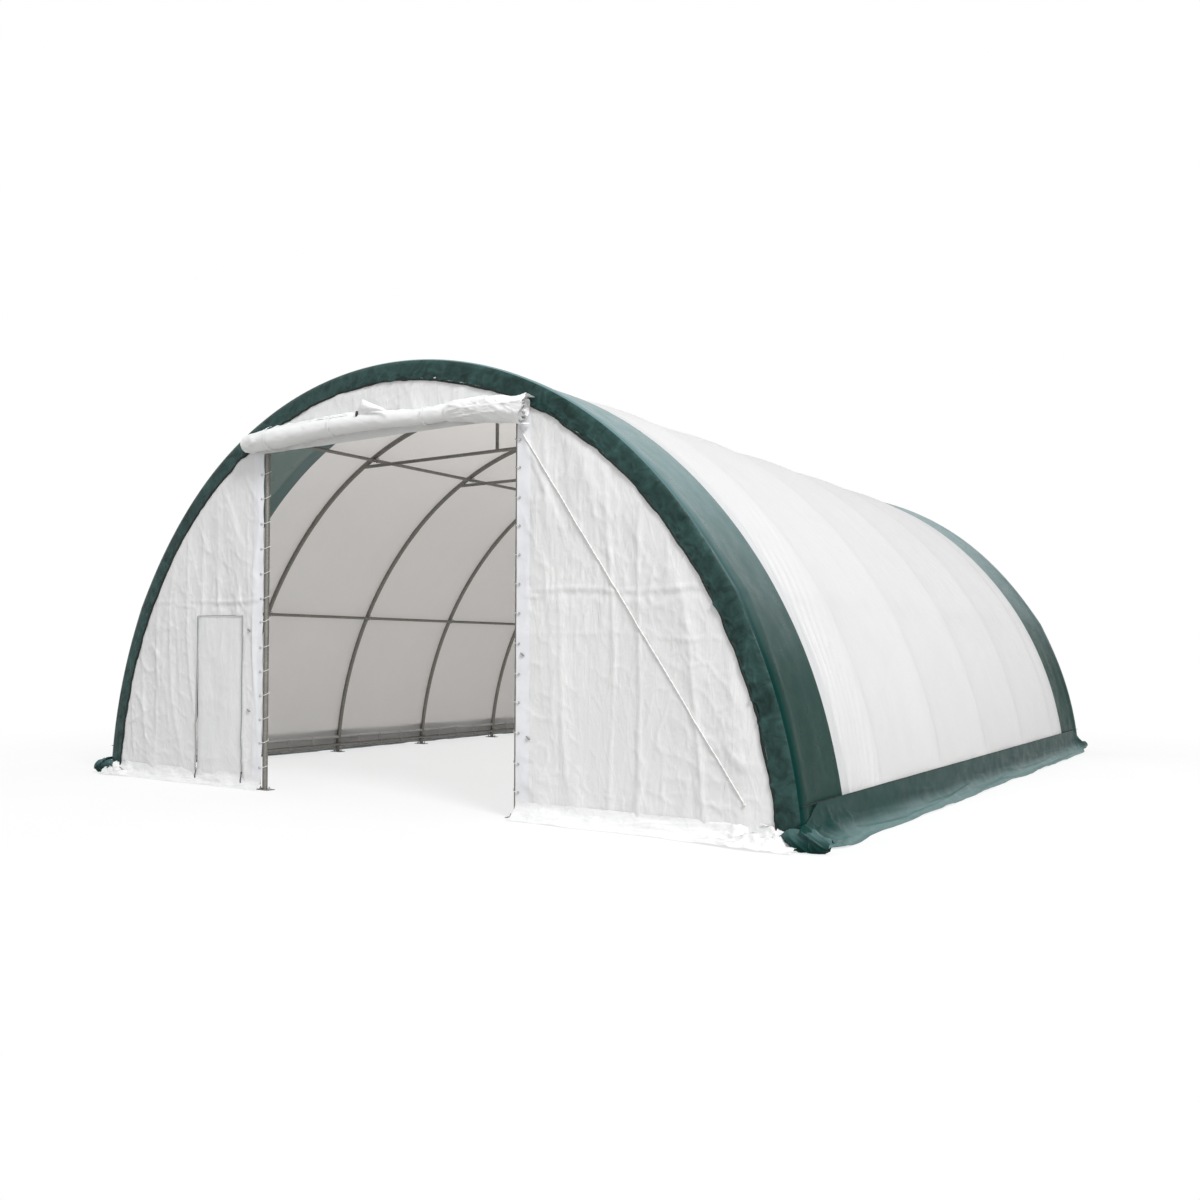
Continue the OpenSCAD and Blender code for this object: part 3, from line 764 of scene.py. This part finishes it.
for xz in DOOR[:2]:
    yb = PANEL_Y - 0.016
    zp.lathe((xz, yb, 0.175), (0, -1, 0), [(0.008, 0), (0.012, 0.002), (0.012, 0.006), (0.007, 0.009)], 12)
    pts = [(xz + 0.004 * math.sin(k * 1.3), yb - 0.006 - 0.002 * k, 0.17 - 0.022 * k) for k in range(6)]
    zp.ribbon(pts, [(0.014, 0, 0)] * 6, [(0, -1, 0)] * 6, 0.003)
    zp.lathe((xz, yb - 0.004, 0.022), (0, 0, 1),
             [(0.006, 0), (0.010, 0.006), (0.010, 0.03), (0.005, 0.038)], 10)
zp.done("man_door_zip_pulls", M_BLACK_AND_SHADE, "door_flap_tarpaulin")

# ---------------------------------------------------------------- rolled main door
# radius of the roll and height of its axis, at places along the doorway
ROLL_X = (-1.90, -1.72, -1.30, -0.70, 0.0, 0.65, 1.05, 1.40, 1.70, 1.90)
ROLL_R = (0.108, 0.128, 0.124, 0.104, 0.098, 0.084, 0.088, 0.092, 0.100, 0.104)
ROLL_ZC = (3.905, 3.905, 3.925, 3.945, 3.945, 3.905, 3.915, 3.900, 3.870, 3.835)


def roll_zc(x):
    """Height of the roll's axis at x."""
    return smooth_row(x, ROLL_ZC)


def smooth_row(x, row):
    """One of the roll's rows at x, eased between its points."""
    return sum(np.interp(np.asarray(x, dtype=float) + d, ROLL_X, row) for d in (-0.16, -0.08, 0.0, 0.08,
                                                                                0.16)) / 5


def rolled():
    """The door curtain wound up on itself below its hanging strip."""
    x0, x1 = ROLL[0][0], ROLL[1][0]
    yc = mid("rolled_door", 1) + 0.012
    turns = 7.4
    n, m = int(210 * DENS), int(14 * DENS)
    th = np.linspace(0, turns * 2 * math.pi, n)
    rad = 1 - (1 - 0.2) * th / th[-1]
    ang = math.radians(75) - th          # starts at the top rear, goes over the front
    nx_ = int(200 * DENS)
    xs = np.linspace(x0, x1, nx_)
    P = np.zeros((nx_, n + m, 3))
    uvm = np.zeros((nx_, n + m, 2))
    L = np.concatenate([np.linspace(-0.17, 0, m, endpoint=False), np.linspace(0, 3.6, n)])
    for i, x in enumerate(xs):
        out = 1 - np.clip(th / (2 * math.pi), 0, 1)
        rough = 0.55 + 0.9 * smooth(-1.25, -1.7, x) + 0.5 * smooth(0.85, 1.1, x)
        lump = 0.018 * (creases(x * 2.3 + th * 0.55, th * 0.8 - x * 1.9, 507, 3) - 0.4) \
            + 0.012 * noise(x * 1.6, th * 0.7, 511) + 0.006 * noise(x * 6.0 + th, th * 1.8, 517)
        groove = -0.010 * np.exp(-((((th + 1.2 * x + 2.0) % (2 * math.pi))
                                    - 2.6) / 0.16) ** 2) * smooth(1.5, 0.6, x)
        rr = rad * float(smooth_row(x, ROLL_R)) + (lump + groove) * rough * (0.2 + 0.8 * out)
        rr = np.clip(rr, 0.008, 0.136)
        a = ang + 0.2 * float(noise(x * 0.9, 4.0, 503))
        zc = float(roll_zc(x))
        endw = smooth(0.10, 0.0, min(x - x0, x1 - x))
        P[i, m:, 0] = x + endw * 0.030 * noise(th * 0.55, 2, 521)
        P[i, m:, 1] = yc + rr * np.cos(a)
        P[i, m:, 2] = zc + rr * np.sin(a)
        ye, ze = P[i, m, 1], P[i, m, 2]
        hang = 0.022 + 0.018 * smooth(-1.9, -1.4, x) + 0.015 * float(noise(x * 2.0, 8.0, 523))
        k = np.linspace(0, 1, m, endpoint=False)
        yt = PANEL_Y - 0.012
        zt_ = ze + hang
        bow = 0.012 * np.sin(math.pi * k) * (0.4 + creases(x * 2.6 + k * 1.5, k * 2.0 + x, 527, 2))
        P[i, :m, 0] = x
        P[i, :m, 1] = yt + (ye - yt) * k ** 1.4 - bow
        P[i, :m, 2] = zt_ + (ze - zt_) * k
        uvm[i, :, 0], uvm[i, :, 1] = x, L
    return cloth("rolled_door_cloth", P, M_ROLL, uv=uvm), yc


roll, RYC = rolled()
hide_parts("rolled_door")

# pointed fold standing up from the roll, open on its left side
kk, jj = grid(np.linspace(0, 1, 26), np.linspace(0, 1, 30))
px0, px1, pxa = -0.24, 0.34, -0.13
zb = roll_zc(0.0) + 0.085
apex = np.array([pxa, RYC - 0.015, float(zb) + 0.155])
base_x = px0 + (px1 - px0) * jj
base_y = RYC - 0.085 + 0.03 * np.cos(math.pi * jj)
base_z = roll_zc(base_x) + 0.055 + 0.02 * np.sin(math.pi * jj)
base_z = base_z - 0.045 * bell(jj, 0.0, 0.25)
w = kk ** 1.1
PX = base_x * (1 - w) + apex[0] * w + 0.010 * noise(kk * 3, jj * 5, 531) * (1 - w)
PY = base_y * (1 - w) + apex[1] * w - 0.045 * np.sin(math.pi * w) * np.sin(math.pi * jj)
PZ = base_z * (1 - w) + apex[2] * w + 0.012 * noise(kk * 2.3, jj * 4, 533) * (1 - w)
pk = cloth("roll_peak_fold", points(PX, PY, PZ), M_ROLL, uv=points(jj * 0.6, kk * 0.24))
# near-black cup set in the fold's open side: painted shade inside the opening
pb = Bag()
pb.lathe((-0.165, RYC - 0.065, float(zb) - 0.005), (-0.9, -0.35, 0.1),
         [(0.004, -0.02), (0.030, -0.012), (0.034, 0.0), (0.026, 0.004)], 16)
pb.done("roll_peak_shade_cup", M_BLACK_AND_SHADE, "rolled_tarpaulin")

# slack sleeve gathered over the right end of the roll, with its open mouth
nx_, na = int(120 * DENS), int(64 * DENS)
xs = np.linspace(1.02, ROLL[1][0] + 0.05, nx_)
aa = np.linspace(math.radians(128), math.radians(-128), na)
SX, SA = grid(xs, aa)
tt = (SX - xs[0]) / (xs[-1] - xs[0])
rb = smooth_row(SX, ROLL_R) + 0.010 + 0.010 * smooth(0.0, 0.15, tt) + 0.012 * smooth(0.75, 1.0, tt)
wrk = (0.014 * (creases(SX * 2.0 + SA * 0.5, SA * 1.5 - SX * 1.1, 541, 3) - 0.4)
       + 0.010 * noise(SX * 5, SA * 1.3, 543))
lower = smooth(0.2, -1.2, SA)
rb = np.clip(rb + wrk * smooth(0.0, 0.1, tt)
             + 0.022 * lower * smooth(0.1, 0.4, tt) * (0.6 + 0.4 * noise(SX * 6, SA, 545)), 0.03, 0.15)
SY = RYC - rb * np.cos(SA)
SZ = roll_zc(SX) + rb * np.sin(SA)
SXX = SX + 0.035 * wave(SA, 1.3, 547) * smooth(0.8, 1.0, tt) - 0.05 * smooth(0.85, 1.0, tt) * lower
SY = np.minimum(SY, PANEL_Y - 0.006)
sl = cloth("roll_end_sleeve", points(SXX, SY, SZ), M_ROLL, uv=points(SX, SA * 0.12))

# ties that hold the roll up
st = Bag()
for x in (-1.50, -0.55, 0.72):
    zc = float(roll_zc(x))
    r0 = float(smooth_row(x, ROLL_R)) + 0.007
    pts, nrm = [], []
    for k in range(25):
        a = math.radians(85 - 250 * k / 24)
        pts.append((x + 0.006 * math.sin(k), RYC - r0 * math.cos(a), zc + r0 * math.sin(a)))
        nrm.append((0, math.cos(math.pi - a), math.sin(a)))
    st.ribbon(pts, [(0.020, 0, 0)] * 25, nrm, 0.002)
st.done("roll_straps", M_ROLL, "white_rope")

# ---------------------------------------------------------------- skirts
def side_skirt(name, sg, node, seed):
    """Green skirt from the weld line out over the ground, gathered at both ends."""
    nv, ny = int(36 * DENS), int(500 * DENS)
    ysk = np.linspace(-END - 0.10, END + 0.15, ny)
    k = np.linspace(0, 1, nv)
    Y, K = grid(ysk, k)
    edge = 0.022 * wave(Y, 0.55, seed) + 0.016 * wave(Y, 1.5, seed + 1, 3) + 0.006 * wave(Y, 5, seed + 2)
    bulge = 0.045 * np.exp(-(((Y + END - 0.5) / 0.5) ** 2)) - 0.02 * smooth(0, END, Y)
    xe = np.minimum(EDGE_X - 0.035 + edge + bulge, EDGE_X + 0.03)
    top = WELD + 0.03
    x0 = half_x(np.full_like(Y, top), -0.006)
    x1 = half_x(np.full_like(Y, WELD), -0.007)
    b = np.clip((K - 0.07) / 0.93, 0, 1)
    strip = K < 0.07
    p0x, p0z = x1, WELD
    p1x, p1z = x1 + 0.022, 0.12 + 0.02 * wave(Y, 1.3, seed + 3)
    p2x, p2z = xe - 0.15, 0.055 + 0.015 * wave(Y, 0.9, seed + 5)
    p3x, p3z = xe, 0.006 + 0.014 * np.maximum(0, wave(Y, 2.4, seed + 4))
    X = bezier(b, p0x, p1x, p2x, p3x)
    Z = bezier(b, p0z, p1z, p2z, p3z)
    front = np.exp(-(((Y + END - 0.1) / 0.75) ** 2))
    back = bell(Y, END, 0.5)
    corner = front + back
    slant = b * 2.1 - 0.30 * (Y + END) / (0.5 + np.abs(Y + END)) + 0.5 * wave(Y, 0.42, seed + 6)
    long = ridge(slant, 1.6, 0.3)
    diag = noise(Y * 0.55 - K * 1.0, K * 2.2 + Y * 0.15, seed + 7)
    fold = creases(Y * 0.42 - K * 0.9, K * 2.3 + Y * 0.12, seed + 9, 2) - 0.35
    knot = creases(Y * 2.2 - K * 1.3, K * 2.1 + Y * 1.1, seed + 10, 3) - 0.35
    amp = np.sin(math.pi * np.clip(b, 0, 1) ** 0.8 * 0.86)
    push = amp * (0.013 * long + (0.010 + 0.022 * corner) * diag + 0.012 * fold
                  + (0.040 * front + 0.022 * back) * knot)
    X = X + push * 0.75
    Z = Z + push * 0.8
    kk = np.clip(K / 0.07, 0, 1)
    X = np.where(strip, x0 + (x1 - x0) * kk, X)
    Z = np.where(strip, top + (WELD - top) * kk, np.maximum(Z, 0.003))
    # the ends are drawn together: a rolled tip at the rear, a bunch at the front
    def gather(X, Z, Y, g, cx, cz, r, turn):
        a = turn + b * 4.4
        rr = r * (1 - 0.35 * b) * (1 + 0.25 * noise(Y * 9, b * 5, seed + 12))
        return X * (1 - g) + (cx - rr * np.cos(a)) * g, Z * (1 - g) + (cz + rr * np.sin(a)) * g
    X, Z = gather(X, Z, Y, 0.92 * smooth(END - 0.45, END + 0.06, Y), EDGE_X - 0.12, 0.085,
                  0.060 * (1 - 0.45 * smooth(END, END + 0.15, Y)), 0.9)
    X, Z = gather(X, Z, Y, 0.80 * smooth(-END + 0.42, -END - 0.04, Y), EDGE_X - 0.165, 0.085,
                  0.105 * (1 - 0.5 * smooth(-END - 0.02, -END - 0.10, Y)), 0.7)
    Z = np.maximum(Z, 0.003)
    X = np.maximum(X, np.where(Z < WELD + 0.04, half_x(Z, -0.0055), X))
    P = points(X * sg, Y, Z)
    # UV v = K x 0.42 grows out from the weld, so the part lying on the ground gets the skirt material's
    # painted top light
    o = cloth(name, P, M_SKIRTG, uv=points(Y, K * 0.42))
    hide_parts(node)
    # thin dark seam along the weld strip's top edge
    b2 = Bag()
    ys2 = np.linspace(-END + 0.01, END - 0.01, int(220 * DENS))
    xt = half_x(np.full_like(ys2, top + 0.001), -0.0065)
    b2.tube(points(sg * xt, ys2, top + 0.001 + 0.001 * wave(ys2, 3, seed + 30)).tolist(), 0.004, 6)
    b2.done(name.replace("skirt_cloth", "skirt_seam"), M_DARK, "green_tarpaulin")


def corner_bunch(name, sg, seed):
    """Spare cloth of the side skirt rolled round the front corner."""
    n1, n2 = int(60 * DENS), int(76 * DENS)
    t, a = grid(np.linspace(0, 1, n1), np.linspace(-2.6, 2.9, n2))
    cx, cy, cz = 4.40 + 0.40 * t, -END - 0.045 + 0.02 * np.sin(3 * t), 0.095 - 0.02 * t
    taper = np.sqrt(np.clip(np.sin(math.pi * np.clip(0.08 + 0.86 * t, 0, 1)), 0.05, 1))
    r = (0.078 + 0.024 * (creases(t * 1.6 + a * 0.25, a * 0.75 + t * 1.9, seed, 3) - 0.4)
         + 0.014 * noise(t * 4, a * 1.4, seed + 3)) * taper
    X = cx + 0.018 * noise(t * 3, a, seed + 4)
    Y = cy - r * np.cos(a)
    Z = np.maximum(cz + r * np.sin(a) * 1.15, 0.004)
    # UV v grows towards the top of the roll, so its upper side gets the skirt material's painted top light
    o = cloth(name, points(X * sg, Y, Z), M_SKIRTG, uv=points(t * 0.5, 0.06 + 0.13 * (1 + np.sin(a))))


corner_bunch("right_corner_bunch", 1, 651)
corner_bunch("left_corner_bunch", -1, 671)
side_skirt("right_skirt_cloth", 1, "right_skirt", 601)
side_skirt("left_skirt_cloth", -1, "left_skirt", 631)


def end_skirt(name, x0, x1, sign, node, seed, reach, heap_at=()):
    """White skirt from the wall's weld line, forward over the ground."""
    nx_, nv = int(max(60, (x1 - x0) * 48) * DENS), int(34 * DENS)
    xs = np.linspace(x0, x1, nx_)
    k = np.linspace(0, 1, nv)
    X, K = grid(xs, k)
    y0 = END - T + 0.006
    heap = 0 * X
    for hx in heap_at:
        heap = heap + bell(X, hx, 0.33)
    ye = END + reach(X) + 0.020 * wave(X, 1.6, seed) + (0.008 + 0.02 * heap) * wave(X, 7, seed + 1, 2)
    z_e = (0.005 + 0.012 * np.maximum(0, wave(X, 3.1, seed + 2))
           + 0.018 * heap * np.maximum(0, wave(X, 11, seed + 3)))
    Y = bezier(K, y0, y0 + 0.012, ye - 0.45 * (ye - y0), ye)
    Z = bezier(K, 0.17, 0.06, 0.022, z_e)
    fold = creases(X * 2.7 + K * 1.2, K * 2.2 + X * 0.6, seed + 5, 3) - 0.25
    crum = creases(X * 6.5 + K * 2.5, K * 4.2 - X * 1.6, seed + 6, 3) - 0.3
    n = noise(X * 3.4, K * 2.5, seed + 7)
    swell = np.sin(math.pi * np.clip(K * 0.9 + 0.05, 0, 1))
    amp = swell * (0.014 + 0.035 * heap)
    Z = np.maximum(Z + amp * (fold + 0.6 * n) + swell * heap * (0.045 * crum + 0.035), 0.004)
    Y = Y + amp * 0.8 * noise(X * 6, K * 3, seed + 8) + swell * heap * 0.03 * noise(X * 12, K * 5, seed + 9)
    Y = np.maximum(Y, END - T + 0.004)
    P = points(X, sign * Y, Z)
    o = cloth(name, P, M_SKIRT, uv=points(X, K * 0.4))
    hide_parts(node)
    return o


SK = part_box("front_right_skirt")


def reach_r(X):
    """How far the right front skirt reaches over the ground."""
    return 0.15 + 0.08 * smooth(3.2, 4.2, X)


def reach_l(X):
    """How far the left front skirt reaches over the ground."""
    return 0.10 + 0.10 * smooth(3.9, 4.5, -X)


o = end_skirt("front_right_skirt_cloth", PANEL_EDGE, SK[1][0], -1, "front_right_skirt", 701, reach_r, (4.22,))
o = end_skirt("front_left_skirt_cloth", -SK[1][0], -PANEL_EDGE, -1, "front_left_skirt", 721, reach_l,
              (-4.45,))
o = end_skirt("rear_skirt_cloth", -SK[1][0], SK[1][0], 1, "rear_skirt", 741, lambda X: 0.17 + 0 * X)

# ---------------------------------------------------------------- pull rope
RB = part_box("door_pull_rope")
ra, rb = Vector((RB[0][0] + 0.005, 0, RB[1][2] - 0.004)), Vector((RB[1][0] - 0.005, 0, RB[0][2] + 0.004))
b = Bag()
pts = []
for k in range(60):
    t = k / 59
    p = ra.lerp(rb, t)
    relief = float(wall_relief(np.array(p.x), np.array(p.z), RIGHT_SEED))
    pts.append((p.x, PANEL_Y - max(relief, 0) - 0.007, p.z))
b.tube(pts, 0.0065, 8)
rope = b.done("pull_rope_line", M_ROPE, "white_rope")
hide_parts("door_pull_rope")
# knot at the foot
b = Bag()
b.lathe((pts[-1][0], pts[-1][1] - 0.002, pts[-1][2]), (0, -1, 0),
        [(0.006, -0.004), (0.015, 0.0), (0.016, 0.008), (0.006, 0.014)], 12)
knot = b.done("pull_rope_knot", M_ROPE, "white_rope")

# ---------------------------------------------------------------- lacing round the door posts
b, ey = Bag(), Bag()
rng = np.random.RandomState(9)
pr = 0.0305
for sg in (-1, 1):
    z = 0.25
    while z < ROLL[0][2] - 0.05:
        cx = POST_X
        tilt = 0.045 + 0.02 * rng.rand()
        loop = [(PANEL_EDGE + 0.028, PANEL_Y - 0.0135, z), (PANEL_EDGE + 0.004, PANEL_Y - 0.0155, z + 0.004)]
        for k in range(13):
            a = math.radians(250 - 200 * k / 12)
            r = pr + 0.005
            loop.append((cx + r * math.cos(a), -ARCH_Y + r * math.sin(a), z + 0.006 + tilt * k / 12))
        b.tube([(p[0] * sg, p[1], p[2]) for p in loop], 0.0042, 7)
        ey.lathe((sg * (PANEL_EDGE + 0.030), PANEL_Y - 0.0085, z), (0, -1, 0),
                 [(0.013, 0), (0.0135, 0.0015), (0.011, 0.003), (0.006, 0.0032)], 14)
        z += 0.262 + 0.03 * rng.rand()
tg = Bag()
for tx, tz in ((1.83, 1.55), (1.90, 0.77), (1.82, 0.07), (-1.96, 1.80), (-1.96, 0.89)):
    relief = float(wall_relief(np.array(tx), np.array(tz), LEFT_SEED if tx < 0 else RIGHT_SEED))
    yw = PANEL_Y - 0.004 - max(0.0, relief)
    tg.tube([(tx - 0.020, yw - 0.010, tz + 0.014), (tx, yw - 0.014, tz),
             (tx + 0.020, yw - 0.010, tz - 0.016)], [0.006, 0.009, 0.006], 8)
    tg.tube([(tx, yw + 0.004, tz), (tx, yw - 0.012, tz)], 0.004, 6)
tg.done("jamb_toggles", M_ZIP, "white_rope")
b.done("post_lacing", M_CORD, "white_rope")
ey.done("post_lacing_eyelets", M_BOLT, "plate_steel")

# ---------------------------------------------------------------- clamps, bolts
cl, bo = Bag(), Bag()
purl = []
for n in ("ridge_purlin", "left_shoulder_purlin", "right_shoulder_purlin", "left_wall_purlin",
          "right_wall_purlin", "left_base_rail", "right_base_rail"):
    purl.append((mid(n, 0), mid(n, 2)))
for i in range(7):
    y = -ARCH_Y + i * BAY
    for px, pz in purl:
        c = Vector((px, pz))
        if abs(px) < 1e-6:
            nrm = Vector((0, 1))
        else:
            on_crown = pz > -DROP + SIDE_R * math.sin(JOIN) - 0.1
            centre = Vector((0, ZK)) if on_crown else Vector((-OFF * (1 if px > 0 else -1), -DROP))
            nrm = (c - centre).normalized()
        tan = Vector((nrm.y, -nrm.x))
        p3 = Vector((c.x, y, c.y))
        n3, t3 = Vector((nrm.x, 0, nrm.y)), Vector((tan.x, 0, tan.y))
        for side in (-1, 1):
            yo = y + side * 0.035
            if abs(yo) > 6.06:
                continue
            # saddle strap hooked over the purlin beside the arch
            pts = []
            for k in range(13):
                a = math.radians(-200 + 220 * k / 12)
                q = p3 + t3 * (0.0225 * math.cos(a)) + n3 * (0.0225 * math.sin(a))
                pts.append((q.x, yo, q.z))
            cl.tube(pts, 0.004, 6)
        # a pin across the arch on each side of the purlin
        for side in (-1, 1):
            q = p3 + t3 * (0.034 * side) + n3 * 0.012
            cl.lathe((q.x, y - 0.028, q.z), (0, 1, 0), [(0.006, 0), (0.006, 0.056)], 8)
        if abs(px) > 0.0:
            bo.lathe((p3.x - n3.x * 0.024, y, p3.z - n3.z * 0.024), (-n3.x, 0, -n3.z),
                     [(0.009, 0), (0.009, 0.007), (0.006, 0.009)], 6)
cl.done("purlin_clamps", M_PLATE, "plate_steel")
plate_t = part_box("left_base_plates")[1][2]
foot = mid("right_base_plates", 0)
half_bolts = 0.07  # half the distance between the bolts of a plate


def anchor(x, y):
    """Anchor bolt through a base plate."""
    profile = [(0.017, 0), (0.017, 0.003), (0.0135, 0.003), (0.0135, 0.013), (0.011, 0.015),
               (0.0075, 0.0155), (0.0075, 0.030), (0.005, 0.032)]
    bo.lathe((x, y, plate_t), (0, 0, 1), profile, 12)


for i in range(7):
    for sg in (-1, 1):
        for h in (-1, 1):
            anchor(sg * foot + h * half_bolts, -ARCH_Y + i * BAY)
for sx in (-1, 1):
    for sy in (-1, 1):
        for h in (-1, 1):
            anchor(sx * POST_X + h * half_bolts, sy * ARCH_Y)
bo.done("bolts", M_BOLT, "plate_steel")

# rolled hem pocket with its lashings inside the cover's foot
for sg, nm in ((-1, "left"), (1, "right")):
    b = Bag()
    yy = np.linspace(-END + 0.12, END - 0.12, int(260 * DENS))
    zz = 0.235 + 0.006 * wave(yy, 1.3, 801)
    xx = half_x(zz, 0.034) + 0.003 * wave(yy, 4, 803)
    b.tube(points(sg * xx, yy, zz).tolist(), [0.024 + 0.003 * float(noise(v * 7, 0.0, 805)) for v in yy], 10)
    b.done(f"{nm}_hem_pocket", M_COVER, "white_cover_tarpaulin")
ls = Bag()
rxc, rzc = mid("right_base_rail", 0), mid("right_base_rail", 2)
for sg in (-1, 1):
    y = -END + 0.5
    while y < END - 0.3:
        t = ((y + ARCH_Y) / BAY) % 1.0
        if 0.06 < t < 0.94:
            pts = []
            for k in range(9):
                a = math.radians(200 + 180 * k / 8)
                pts.append((sg * (rxc + 0.024 * math.cos(a)), y, rzc + 0.024 * math.sin(a)))
            for dx, z in ((0.040, 0.20), (0.030, 0.262), (-0.004, 0.245), (-0.022, rzc + 0.01)):
                pts.append((sg * (rxc + dx), y, z))
            ls.tube(pts, 0.005, 6)
        y += 0.5
ls.done("hem_lashings", M_CORD, "white_rope")

# ---------------------------------------------------------------- camera, floor, light
cam_d = bpy.data.cameras.new("camera")
cam = bpy.data.objects.new("camera", cam_d)
bpy.context.scene.collection.objects.link(cam)
yaw, pitch, roll_a = 0.6352, 0.0140, 0.0063
f = Vector((-math.sin(yaw) * math.cos(pitch), math.cos(yaw) * math.cos(pitch), math.sin(pitch)))
r = f.cross(Vector((0, 0, 1))).normalized()
u = r.cross(f)
r2 = r * math.cos(roll_a) + u * math.sin(roll_a)
u2 = -r * math.sin(roll_a) + u * math.cos(roll_a)
cam.matrix_world = Matrix((
    (r2.x, u2.x, -f.x, 7.952),
    (r2.y, u2.y, -f.y, -8.755 - END),
    (r2.z, u2.z, -f.z, 1.575),
    (0, 0, 0, 1)))
cam_d.sensor_width = 36
cam_d.lens = 34.09
cam_d.shift_x = 0.0879
cam_d.shift_y = 0.0297
cam_d.clip_end = 400
bpy.context.scene.camera = cam

m, nt, out = new_mat("studio_floor")
p = node(nt, "BsdfDiffuse")
v = coords(nt)
lp = node(nt, "LightPath")
seen = math_node(nt, "MAXIMUM", lp.outputs["Is Camera Ray"], lp.outputs["Is Glossy Ray"])
mc = node(nt, "Mix")
mc.data_type = "RGBA"
link(nt, seen, mc.inputs["Factor"])
mc.inputs[6].default_value = (0.52, 0.515, 0.50, 1)
link(nt, ramp(nt, tex_noise(nt, v, 0.4, 3), [(0.3, (0.82, 0.82, 0.82)), (0.7, (0.86, 0.86, 0.86))]),
     mc.inputs[7])
link(nt, mc.outputs[2], p.inputs["Color"])
em = node(nt, "Emission", {"Color": (1, 1, 1, 1), "Strength": 1.0})
mx = node(nt, "MixShader")
sep = node(nt, "VectorMath")
sep.operation = "LENGTH"
link(nt, v, sep.inputs[0])
far = node(nt, "MapRange", {"From Min": 6.5, "From Max": 13.0, "To Min": 0.70, "To Max": 1.0})
far.interpolation_type = "SMOOTHSTEP"
link(nt, sep.outputs["Value"], far.inputs["Value"])
link(nt, math_node(nt, "MULTIPLY", seen, far.outputs["Result"]), mx.inputs[0])
link(nt, p.outputs[0], mx.inputs[1])
link(nt, em.outputs[0], mx.inputs[2])
link(nt, mx.outputs[0], out.inputs["Surface"])
floor = mesh_obj("floor", [(-120, -120, 0), (120, -120, 0), (120, 120, 0), (-120, 120, 0)], [(0, 1, 2, 3)], m)

w = bpy.data.worlds.new("sky")
bpy.context.scene.world = w
w.use_nodes = True
nt = w.node_tree
nt.nodes.clear()
out = node(nt, "OutputWorld")
bg = node(nt, "Background")
bg2 = node(nt, "Background")
bg.inputs["Color"].default_value = (0.98, 0.99, 1.0, 1)
bg.inputs["Strength"].default_value = 0.70
bg2.inputs["Color"].default_value = (1, 1, 1, 1)
bg2.inputs["Strength"].default_value = 1.0
lp = node(nt, "LightPath")
mx = node(nt, "MixShader")
seen = math_node(nt, "MAXIMUM", lp.outputs["Is Camera Ray"], lp.outputs["Is Glossy Ray"])
seen = math_node(nt, "MAXIMUM", seen, lp.outputs["Is Transmission Ray"])
link(nt, seen, mx.inputs[0])
link(nt, bg.outputs[0], mx.inputs[1])
link(nt, bg2.outputs[0], mx.inputs[2])
link(nt, mx.outputs[0], out.inputs["Surface"])


def area(name, loc, target, size, power, col=(1, 1, 1)):
    """A rectangular lamp aimed at target."""
    d = bpy.data.lights.new(name, "AREA")
    d.shape = "RECTANGLE"
    d.size, d.size_y = size
    d.energy = power
    d.color = col
    o = bpy.data.objects.new(name, d)
    bpy.context.scene.collection.objects.link(o)
    o.location = loc
    o.rotation_euler = (Vector(target) - Vector(loc)).to_track_quat("-Z", "Y").to_euler()
    return o


area("key", (28, -20, 29), (0, -3, 2), (11, 11), 13600)
bpy.context.scene.view_settings.view_transform = "Standard"
